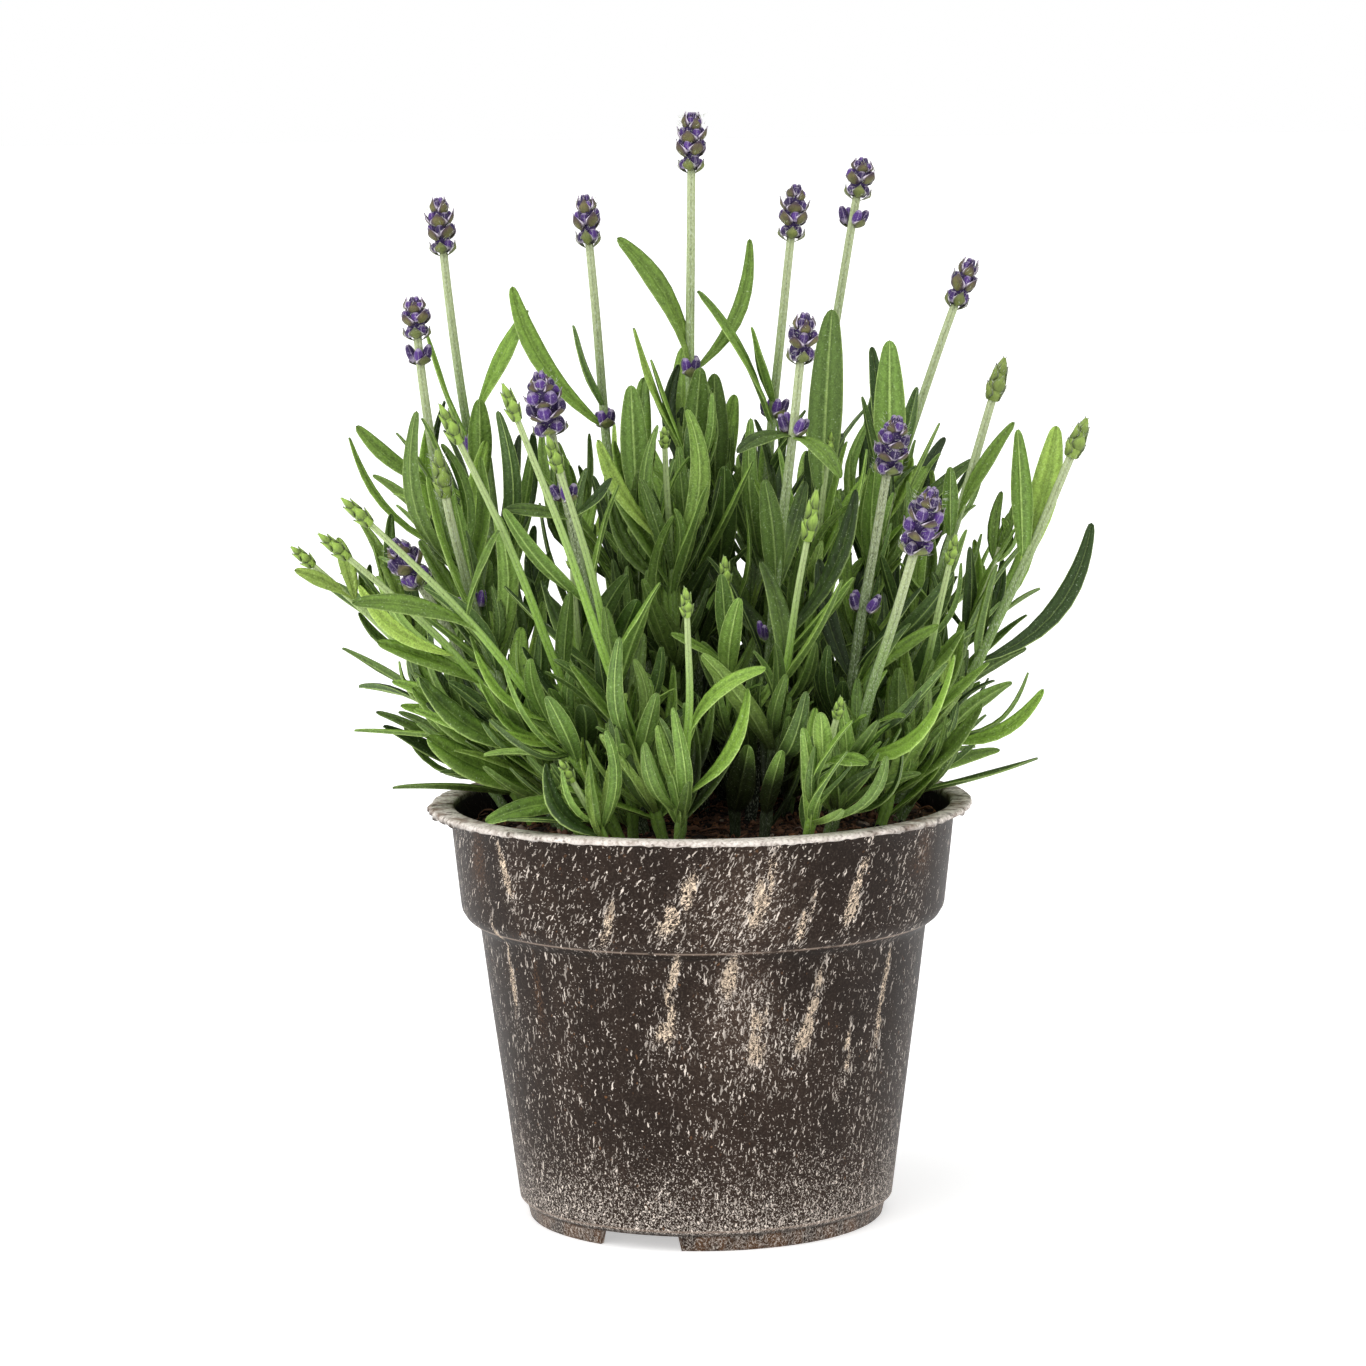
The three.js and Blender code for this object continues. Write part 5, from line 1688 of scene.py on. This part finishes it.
def stalk_finish(name, plant):
    """Ridged stalk, green and bare low down, grey with felt under the head, with painted shade along its
    grooves and inside the bush.
    """
    board = new_board(name)
    spot = board.place()
    across, along, young = board.mark("across"), board.mark("along"), board.mark("young")
    grain = board.noise(board.scaled(spot, 1, 1, 0.35), STALK_GRAIN, 1.0)
    patch = board.noise(spot, STALK_PATCH)
    age = young + 0.3 * (patch - 0.5)
    fresh = board.step(young, 0.4, 0.65)
    old = 1 - board.step(young, 0.05, 0.2)
    green = board.mix(board.step(age, 0.1, 0.7), plant.stalk, plant.young_stalk)
    low = 1 - board.step(along, 0.05, 0.5)
    green = board.mix(low * (0.75 - 0.5 * fresh), green, plant.low_stalk)
    top = board.step(along, 0.6, 0.98)
    green = board.mix(top * (0.6 - 0.1 * fresh), green, plant.stalk_felt)
    # Painted shade in the grooves of the faces between the stalk's ridges, and dark specks of grain.
    groove = board.step(0 - across, 0.0, 0.95) * 0.34 + board.step(grain, 0.56, 0.7) * (0.35 + 0.3 * old)
    light = (1.12 - groove) * (1 - 0.25 * old) * board.daylight(spot)
    green = board.shaded(green, light)
    felt = board.step(0.5 - grain, 0.05, 0.14)
    green = board.mix(felt * (0.42 - 0.3 * fresh), green, plant.felt)
    sheen = {"Sheen Weight": 0.08, "Sheen Roughness": 0.4, "Sheen Tint": (0.95, 1, 0.9, 1)}
    return board.surface(green, 0.7, grain, **sheen)


def bract_finish(name, plant):
    """Papery bract: brown with a green heart and violet by its felted edge, or green where it is young."""
    board = new_board(name)
    spot = board.place()
    across, along, young = board.mark("across"), board.mark("along"), board.mark("young")
    grain = board.noise(board.scaled(spot, 1, 1, 0.5), BRACT_GRAIN)
    patch = board.noise(spot, BRACT_PATCH)
    green_yet = board.step(young, 0.3, 0.9)
    brown = board.mix(board.step(patch, 0.35, 0.62), plant.bract, plant.bract_dark)
    heart = (1 - board.step(along, 0.1, 0.85)) * (1 - board.step(abs(across), 0.15, 0.9))
    brown = board.mix(heart * 0.55, brown, plant.bract_heart)
    brown = board.mix(green_yet * 0.9, brown, plant.young_bud)
    # Painted shade at the sides of a young scale, where it curves into the gap by the next.
    crease_shade = board.step(abs(across), 0.3, 0.8) * 0.38 * green_yet
    edge = board.step(abs(across), 0.66, 0.86) * board.step(along, 0.2, 0.5)
    edge = edge.higher(board.step(along, 0.86, 0.98))
    near_edge = board.step(abs(across), 0.45, 0.7).higher(board.step(along, 0.6, 0.8))
    brown = board.mix(near_edge * 0.4 * (1 - green_yet), brown, plant.violet_dark)
    # Painted shade under the tips of the scales below.
    shade_under_tips = (1 - board.step(along, 0.1, 0.75)) * (0.95 * green_yet - 0.35 * green_yet * green_yet)
    brown = board.shaded(brown, 0.78 + 0.55 * grain - crease_shade - shade_under_tips)
    felt = board.mix(green_yet, plant.lilac_felt_and_highlight, plant.felt)
    brown = board.mix(edge * (0.9 - 0.55 * green_yet), brown, felt)
    return board.surface(brown, 0.7, grain, **{"Sheen Weight": 0.12, "Sheen Roughness": 0.4})


def violet_finish(name, plant):
    """Violet bud under lilac felt, which is thickest at its foot, its ribs and its tip; there the lilac is
    partly a painted highlight. Hairs are white.
    """
    board = new_board(name)
    spot = board.place()
    across, along, dice = board.mark("across"), board.mark("along"), board.mark("dice")
    grain = board.noise(spot, BUD_GRAIN)
    light = board.step(dice + 0.7 * (grain - 0.5), 0.25, 0.95)
    violet = board.mix(light, plant.violet_dark, plant.violet)
    # Lilac at the bud's foot, ribs and tip: partly felt, partly a painted highlight.
    pale = (1 - board.step(along, 0.05, 0.35)) * 0.4 + board.step(across, 0.5, 1.0) * 0.24
    pale = pale + board.step(along, 0.84, 0.96) * 0.3
    pale = (pale + board.step(grain, 0.6, 0.72) * 0.35).clamped()
    violet = board.mix(pale, violet, plant.lilac_felt_and_highlight)
    violet = board.mix(board.step(along, 1.5, 1.9), violet, plant.felt)
    sheen = {"Sheen Weight": 0.15, "Sheen Roughness": 0.35, "Sheen Tint": (0.85, 0.75, 1, 1)}
    return board.surface(violet, 0.7, grain, **sheen)


PLANT_FINISHES = {
    "lavender leaf": leaf_finish,
    "felted stalk": stalk_finish,
    "papery bract": bract_finish,
    "violet felt": violet_finish,
}


def plant_finishes(plant):
    """Finishes of shoots and heads, in the order of their slots. Shoots and heads share them."""
    return [bpy.data.materials.get(name) or finish(name, plant) for name, finish in PLANT_FINISHES.items()]


# Finishes of the pot and the soil

def flecks(board, around, lean, size, share, offset):
    """Flecks about as long and wide as the size in mm, which lean by an angle from upright and lie in a
    share of their places. The value is how bright each is."""
    length, width = size
    mapping = {
        "Vector": around, "Location": (offset, offset, 0), "Rotation": (0, 0, math.radians(-lean)),
        "Scale": (FLECK_CELL * width, FLECK_CELL * length, 1),
    }
    cells = board.node("Mapping", mapping, vector_type="TEXTURE")
    sockets = {"Vector": cells, "Scale": 1.0}
    distance = board.node("TexVoronoi", sockets, "Distance", voronoi_dimensions="2D")
    colour = board.node("TexVoronoi", sockets, "Color", voronoi_dimensions="2D")
    pick, reach, bright = (board.node("SeparateColor", {0: colour}, i) for i in range(3))
    inside = ((0.14 + 0.26 * reach - distance) * 8).clamped()
    return inside * (pick < share) * (0.3 + 0.7 * bright * bright)


def curls(board, around, fineness, share, offset):
    """Thin curled fibres, in a share of the surface."""
    spot = board.vector("ADD", around, (offset, offset, 0))
    coil = board.noise(spot, fineness, 1.0, flat=True)
    breaks = board.noise(spot, 1.3 * fineness, 0.0, flat=True)
    line = 1 - board.step(abs(coil - 0.5), 0.015, 0.06)
    return line * board.step(breaks + share, 0.85, 1.05)


def streaked(u, height, streaks):
    """How near the wall's places are to one of the streaks."""
    near = 0.0
    for turn, up, tall, wide, lean in streaks:
        rise = (height - up) / tall
        aside = u - math.radians(turn) * COLLAR_CORNER[0] - rise * (tall * lean)
        aside = aside * (1 + 0.4 * rise) / wide
        near = (0 - aside * aside - rise * rise).exponent().higher(near)
    return near


def shell_finish(pot):
    """Dark moulded shell full of pale fibres, which lie close in the streaks and low on the wall."""
    board = new_board("flecked shell")
    spot = board.place()
    around = board.node("UVMap", {}, uv_map="around")
    wander = board.vector("SUBTRACT", board.noise(around, 1.0, 1.0, "Color", flat=True), (0.5, 0.5, 0.5))
    around = board.vector("MULTIPLY_ADD", wander, (0.9, 0.9, 0), around)
    u = board.along("X", around)
    height = board.along("Z", spot) / MM
    lean = board.node("CombineXYZ", {0: (height - COLLAR_CORNER[1]).higher(0) * 0.36})
    around = board.vector("SUBTRACT", around, lean)
    cloud = board.noise(board.scaled(spot, 1, 1, 0.3), SHELL_CLOUD)
    fine_cloud = board.noise(board.scaled(spot, 1, 1, 0.45), SHELL_FINE_CLOUD)
    dust = board.noise(spot, SHELL_DUST)
    low = 1 - board.step(height + 16 * (cloud - 0.5) + 14 * (fine_cloud - 0.5), 0, 34)
    streak = (streaked(u, height, STREAKS) * 1.5 * board.step(fine_cloud, 0.3, 0.56)).clamped()
    haze = streaked(u, height, CLOUDS)
    share = pot.fleck_share * (0.22 + 0.82 * board.step(cloud, 0.34, 0.66) + 0.9 * haze)
    layers = [
        flecks(board, around, 4, (1.3, 0.24), share + 0.5 * streak, 0),
        flecks(board, around, -14, (0.9, 0.22), 0.8 * share + 0.45 * streak, 31),
        flecks(board, around, 20, (1.1, 0.24), 0.8 * share + 0.45 * streak, 57),
        flecks(board, around, 2, (2.5, 0.28), 0.4 * share + 0.6 * streak, 83),
        flecks(board, around, 10, (1.7, 0.42), 0.02 + 0.5 * streak, 97),
        flecks(board, around, 35, (0.28, 0.24), 0.8 * share + 0.1 * streak + 0.25 * low, 107),
        flecks(board, around, -30, (0.24, 0.2), share + 0.25 * low, 127),
        curls(board, around, 0.9, 0.2 * haze + 0.56 * streak + 0.42 * low, 149),
        curls(board, around, 1.5, 0.05 + 0.42 * streak + 0.38 * low, 167) * 0.95,
    ]
    fleck = functools.reduce(Value.higher, layers)
    paler = board.step(cloud + 0.5 * (fine_cloud - 0.5), 0.35, 0.75)
    ground = board.mix(paler * 0.2 + 0.32 * haze + 0.08 * low, pot.shell, pot.shell_light)
    speckle = board.step(dust, 0.45, 0.7) * (0.05 + 0.05 * low + 0.2 * streak + 0.1 * haze)
    ground = board.mix(speckle, ground, pot.dust_and_edge_highlight)
    ring = 1 - board.step(height, 3.4, 4.8)
    ground = board.mix(ring * board.step(fine_cloud, 0.35, 0.65) * 0.7, ground, pot.rust)
    cream = board.mix(board.step(streak, 0.3, 0.8), pot.fleck, pot.cream)
    colour = board.mix(fleck * (1 - 0.3 * ring), ground, cream)
    chips = flecks(board, around, 10, (0.5, 0.4), 0.025, 141)
    colour = board.mix(chips, colour, pot.rust)
    rusty = streaked(u, height, RUSTY) * board.step(dust, 0.4, 0.6)
    colour = board.mix(rusty * 0.5, colour, pot.rust)

    def band(middle, full, ends):
        return 1 - board.step(abs(height - middle), full, ends)

    # Painted shade in the creases under the collar and at the wall's foot.
    crease_shade = band(COLLAR_CORNER[1] - 1.1, 0.4, 1.0) * 0.42
    crease_shade = crease_shade.higher(band(WALL_FOOT[1] - 0.9, 0.2, 0.8) * 0.5)
    # Painted shadow of the collar on the wall below it, stronger on the right.
    shade_below_collar = board.step(height, 40, 66) * (height < WALL_TOP[1])
    shade_below_collar = shade_below_collar * (0.06 + 0.12 * board.step(u, 0, 20))
    colour = board.shaded(colour, 1 - crease_shade - 0.22 * ring - shade_below_collar)
    # Painted highlight: pale lines along the collar's lower edge and the wall's foot.
    edge_highlight = band(COLLAR_CORNER[1] + 0.15, 0.1, 0.35) * board.step(fine_cloud, 0.3, 0.5)
    edge_highlight = edge_highlight.higher(band(WALL_FOOT[1] + 0.2, 0.1, 0.35) * 0.8)
    colour = board.mix(edge_highlight * 0.6, colour, pot.dust_and_edge_highlight)
    return finish_shell(board, pot, colour, fleck, (spot, u, height, fine_cloud))


def finish_shell(board, pot, colour, fleck, places):
    """Adds the pale fibrous rim to the flecked wall, and paints shade on the inside above the soil in the
    plain dark of the shell.
    """
    spot, u, height, fine_cloud = places
    out = board.out(spot)
    rim_under = POT_HEIGHT - RIM_THICKNESS
    rim = board.step(height, rim_under - 0.7, rim_under + 0.1)
    rim = rim * board.step(out, RIM_INNER_RADIUS - 0.4, RIM_INNER_RADIUS + 0.2)
    grain = board.noise(spot, RIM_GRAIN, 3.0)
    sides = board.step(abs(u + 8), 38, 58)
    pale = board.mix(board.step(grain, 0.25, 0.6), pot.rim_dark, pot.rim)
    stain = board.step(board.noise(spot, RIM_STAIN), 0.42, 0.7)
    pale = board.mix(stain * (0.25 + 0.5 * sides), pale, pot.rust)
    blot = board.step(board.noise(spot, RIM_BLOT), 0.6 - 0.08 * sides, 0.7)
    pale = board.mix(blot * 0.75, pale, pot.shell_light)
    edge = 1 - board.step(height, POT_HEIGHT - 1.1, POT_HEIGHT - 0.5)
    edge = board.step(out, RIM_RADIUS - 1, RIM_RADIUS) * edge
    pale = board.shaded(pale, 1 - 0.4 * edge * (0.3 + 0.7 * sides))
    colour = board.mix(rim, colour, pale)
    # Painted shade on the inside of the pot above the soil, in the shell's plain dark.
    middle = 0.6 * WALL_THICKNESS
    inside = (out < COLLAR_TOP_RADIUS - middle) * (height > COLLAR_FOOT[1]) * (1 - rim)
    inside = inside * (out < (height - COLLAR_FOOT[1]) * 0.11 + COLLAR_FOOT[0] - middle)
    colour = board.mix(inside * 0.75, colour, pot.shell)
    roughness = 0.42 + 0.3 * rim + 0.15 * fleck + 0.1 * fine_cloud
    bump = grain * 0.3 * rim + fleck * 0.2 + fine_cloud * 0.15
    return board.surface(colour, roughness, bump, **{"Specular IOR Level": 0.12})


def soil_finish(pot):
    """Moist soil with drier crumbs."""
    board = new_board("potting soil")
    spot = board.place()
    crumb = board.noise(spot, SOIL_GRAIN, 4.0)
    patch = board.noise(spot, SOIL_PATCH)
    dry = board.step(crumb + 0.3 * (patch - 0.5), 0.35, 0.75)
    brown = board.mix(dry, pot.soil_dark, pot.soil)
    return board.surface(brown, 0.95, crumb, SOIL_RELIEF)


def crumb_finish(pot):
    """Crumbs from moist to dry, with some of bark and a few pale ones."""
    board = new_board("crumbs and bark")
    spot = board.place()
    dice = board.mark("dice")
    grain = board.noise(spot, CRUMB_GRAIN)
    brown = board.mix(board.step(dice, 0.1, 0.8), pot.soil_dark, pot.soil)
    brown = board.mix(board.step(dice, 0.82, 0.9) * 0.8, brown, pot.bark)
    brown = board.mix(board.step(dice, 0.955, 0.975), brown, pot.dust_and_edge_highlight)
    brown = board.shaded(brown, 0.6 + 0.8 * grain)
    return board.surface(brown, 0.9, grain, CRUMB_RELIEF)


# Stage

def place_camera():
    """Camera at the photograph's place, angle and frame."""
    data = bpy.data.cameras.new("camera")
    data.sensor_width = SENSOR
    data.lens = FOCAL_PIXELS * SENSOR / IMAGE_SIDE
    data.clip_end = CAMERA_SEES_TO
    camera = bpy.data.objects.new("camera", data)
    bpy.context.scene.collection.objects.link(camera)
    turn = Matrix.Rotation(math.radians(CAMERA_YAW), 4, "Z")
    pitch = Matrix.Rotation(math.radians(90 - CAMERA_PITCH), 4, "X")
    roll = Matrix.Rotation(math.radians(CAMERA_ROLL), 4, "Z")
    camera.matrix_world = Matrix.Translation((0, CAMERA_Y, CAMERA_Z)) @ turn @ pitch @ roll
    bpy.context.scene.camera = camera


def build_world(stage):
    """Light from all round and from the softboxes. The camera itself sees plain white."""
    board = Board(bpy.data.worlds.new("studio"))
    heading = board.node("TexCoord", {}, "Generated")
    light = stage.sky
    for (direction, tightness), power in ((KEY, stage.key), (SIDE, stage.side), (TOP, stage.top)):
        facing = board.vector("DOT_PRODUCT", heading, unit(direction), output="Value").higher(0)
        light = facing**tightness * power + light
    seen = board.node("LightPath", {}, "Is Camera Ray")
    light = light * (1 - seen) + seen
    sockets = {"Color": (1, 1, 1, 1), "Strength": light}
    board.end("OutputWorld", board.node("Background", sockets, "Background"))
    return board.owner


def build_stage(stage):
    """Pale floor that glows a little, the studio's light, and the camera."""
    bm = bmesh.new()
    bmesh.ops.create_grid(bm, x_segments=1, y_segments=1, size=stage.floor_size / 2)
    board = new_board("studio white")
    glow = {"Emission Color": (1, 1, 1, 1), "Emission Strength": stage.glow}
    floor = made(bm, "studio_floor", [board.surface(stage.floor, 0.9, **glow)])
    bpy.context.scene.world = build_world(stage)
    place_camera()
    bpy.context.scene.view_settings.view_transform = "Standard"
    bpy.context.scene.view_settings.look = "None"


# Settings, operators and panel

def colour_property(name, description, red, green, blue):
    """Colour that a user may change, with its default as a screen colour from 0 to 255."""
    return FloatVectorProperty(name=name, description=description, subtype="COLOR", size=3, min=0, max=1,
                               default=tint(red, green, blue))


class LavenderPotSettings(bpy.types.PropertyGroup):
    """Colours of the pot and the soil."""

    shell: colour_property("Shell", "Moulded shell between its flecks", 32, 22, 16)
    shell_light: colour_property("Light shell", "Paler clouds in the shell", 76, 60, 50)
    fleck: colour_property("Fleck", "Fibres in the shell", 232, 220, 208)
    cream: colour_property("Cream", "Fibres of the streaks", 238, 216, 190)
    # The dust colour also paints the highlight along the pot's edges.
    dust_and_edge_highlight: colour_property("Dust", "Finest fibres", 160, 142, 128)
    rust: colour_property("Rust", "Rusty chips, and the foot", 104, 72, 46)
    rim: colour_property("Rim", "Pale fibres of the rim", 238, 230, 222)
    rim_dark: colour_property("Dark rim", "Dark fibres of the rim", 178, 166, 156)
    soil: colour_property("Soil", "Dry crumbs", 130, 92, 66)
    soil_dark: colour_property("Dark soil", "Moist soil", 30, 20, 14)
    bark: colour_property("Bark", "Pieces of bark", 158, 106, 70)
    fleck_share: FloatProperty(name="Fleck share", description="Share of places that hold a fibre",
                               default=0.14, min=0, max=1, subtype="FACTOR")


class LavenderPlantSettings(bpy.types.PropertyGroup):
    """Colours and fullness of the plant."""

    leaf: colour_property("Leaf", "Grown leaf", 122, 156, 60)
    old_leaf: colour_property("Old leaf", "Oldest leaves", 46, 68, 24)
    young_leaf: colour_property("Young leaf", "Newest leaves", 178, 208, 98)
    underside: colour_property("Underside", "Felted underside of a leaf", 98, 126, 66)
    # The rib colour also paints the highlight on each leaf's rolled edge.
    rib: colour_property("Rib", "Rib and edge of a leaf", 178, 204, 118)
    stalk: colour_property("Stalk", "Stalk of a flowering stem", 116, 138, 84)
    low_stalk: colour_property("Low stalk", "Foot of a stalk", 80, 108, 44)
    stalk_felt: colour_property("Stalk felt", "Felt under a head", 196, 202, 162)
    young_stalk: colour_property("Young stalk", "Stalk of a budding stem", 128, 166, 60)
    young_bud: colour_property("Young bud", "Bud that is still green", 156, 190, 80)
    felt: colour_property("Felt", "White hairs", 204, 214, 190)
    bract: colour_property("Bract", "Bracts of a head", 102, 92, 58)
    bract_dark: colour_property("Dark bract", "Dark patches of a bract", 70, 50, 52)
    bract_heart: colour_property("Bract heart", "Green middle of a bract", 122, 128, 66)
    # On the buds this lilac also paints a highlight.
    lilac_felt_and_highlight: colour_property("Lilac felt", "Edges of bracts and buds", 226, 214, 232)
    violet: colour_property("Violet", "Flower buds", 86, 50, 134)
    violet_dark: colour_property("Dark violet", "Shaded flower buds", 40, 18, 72)
    tuft_leaves: IntProperty(name="Tuft leaves", description="Small leaves that may grow at each pair",
                             default=9, min=0, max=16)


class LavenderStageSettings(bpy.types.PropertyGroup):
    """Floor and light."""

    floor: colour_property("Floor", "Plain pale floor", 245, 245, 245)
    floor_size: FloatProperty(name="Floor size", description="Side of the square floor", default=40,
                              min=1, unit="LENGTH")
    glow: FloatProperty(name="Glow", description="Light that the floor gives off", default=0.46, min=0)
    sky: FloatProperty(name="Sky", description="Light from all round", default=0.27, min=0)
    key: FloatProperty(name="Key", description="Light of the softbox to the front left", default=2.5, min=0)
    side: FloatProperty(name="Side", description="Light of the softbox to the right", default=1.1, min=0)
    top: FloatProperty(name="Top", description="Light of the softbox above", default=0.9, min=0)


class LAVENDER_OT_pot(bpy.types.Operator):
    """Model the flecked nursery pot"""

    bl_idname = "lavender.pot"
    bl_label = "Pot"

    def execute(self, context):
        build_pot(shell_finish(context.scene.lavender_pot))
        return {"FINISHED"}


class LAVENDER_OT_soil(bpy.types.Operator):
    """Fill the pot with soil, with crumbs and fibres on top"""

    bl_idname = "lavender.soil"
    bl_label = "Soil"

    def execute(self, context):
        build_soil(soil_finish(context.scene.lavender_pot))
        build_crumbs(crumb_finish(context.scene.lavender_pot))
        return {"FINISHED"}


class LAVENDER_OT_shoots(bpy.types.Operator):
    """Grow the stems with their leaves and green buds"""

    bl_idname = "lavender.shoots"
    bl_label = "Shoots"

    def execute(self, context):
        plant = context.scene.lavender_plant
        finishes = plant_finishes(plant)
        for stem in grow_plant(plant.tuft_leaves):
            build_shoot(stem, finishes)
        return {"FINISHED"}


class LAVENDER_OT_heads(bpy.types.Operator):
    """Set a flower head on the end of each flowering stem"""

    bl_idname = "lavender.heads"
    bl_label = "Flower heads"

    def execute(self, context):
        finishes = plant_finishes(context.scene.lavender_plant)
        for stem in list_stems():
            if stem.head:
                build_head(stem, finishes)
        return {"FINISHED"}


class LAVENDER_OT_stage(bpy.types.Operator):
    """Lay the floor and set up the lights and the camera"""

    bl_idname = "lavender.stage"
    bl_label = "Stage"

    def execute(self, context):
        build_stage(context.scene.lavender_stage)
        return {"FINISHED"}


class LAVENDER_PT_pieces(bpy.types.Panel):
    """Lists the pieces of the potted lavender"""

    bl_label = "Potted lavender"
    bl_space_type = "VIEW_3D"
    bl_region_type = "UI"
    bl_category = "Lavender"

    def draw(self, context):
        for operator in OPERATORS:
            self.layout.operator(operator.bl_idname)
        for group in SETTINGS:
            settings = getattr(context.scene, group)
            for name in settings.bl_rna.properties.keys():
                if name not in ("rna_type", "name"):
                    self.layout.prop(settings, name)


OPERATORS = (LAVENDER_OT_pot, LAVENDER_OT_soil, LAVENDER_OT_shoots, LAVENDER_OT_heads, LAVENDER_OT_stage)
SETTINGS = {
    "lavender_pot": LavenderPotSettings,
    "lavender_plant": LavenderPlantSettings,
    "lavender_stage": LavenderStageSettings,
}


def register():
    for group, settings in SETTINGS.items():
        bpy.utils.register_class(settings)
        setattr(bpy.types.Scene, group, PointerProperty(type=settings))
    for operator in OPERATORS:
        bpy.utils.register_class(operator)
    bpy.utils.register_class(LAVENDER_PT_pieces)


def unregister():
    bpy.utils.unregister_class(LAVENDER_PT_pieces)
    for operator in OPERATORS:
        bpy.utils.unregister_class(operator)
    for group, settings in SETTINGS.items():
        delattr(bpy.types.Scene, group)
        bpy.utils.unregister_class(settings)


def main():
    register()
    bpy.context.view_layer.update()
    bpy.ops.lavender.stage()
    bpy.ops.lavender.pot()
    bpy.ops.lavender.soil()
    bpy.ops.lavender.shoots()
    bpy.ops.lavender.heads()


if __name__ == "__main__":
    main()
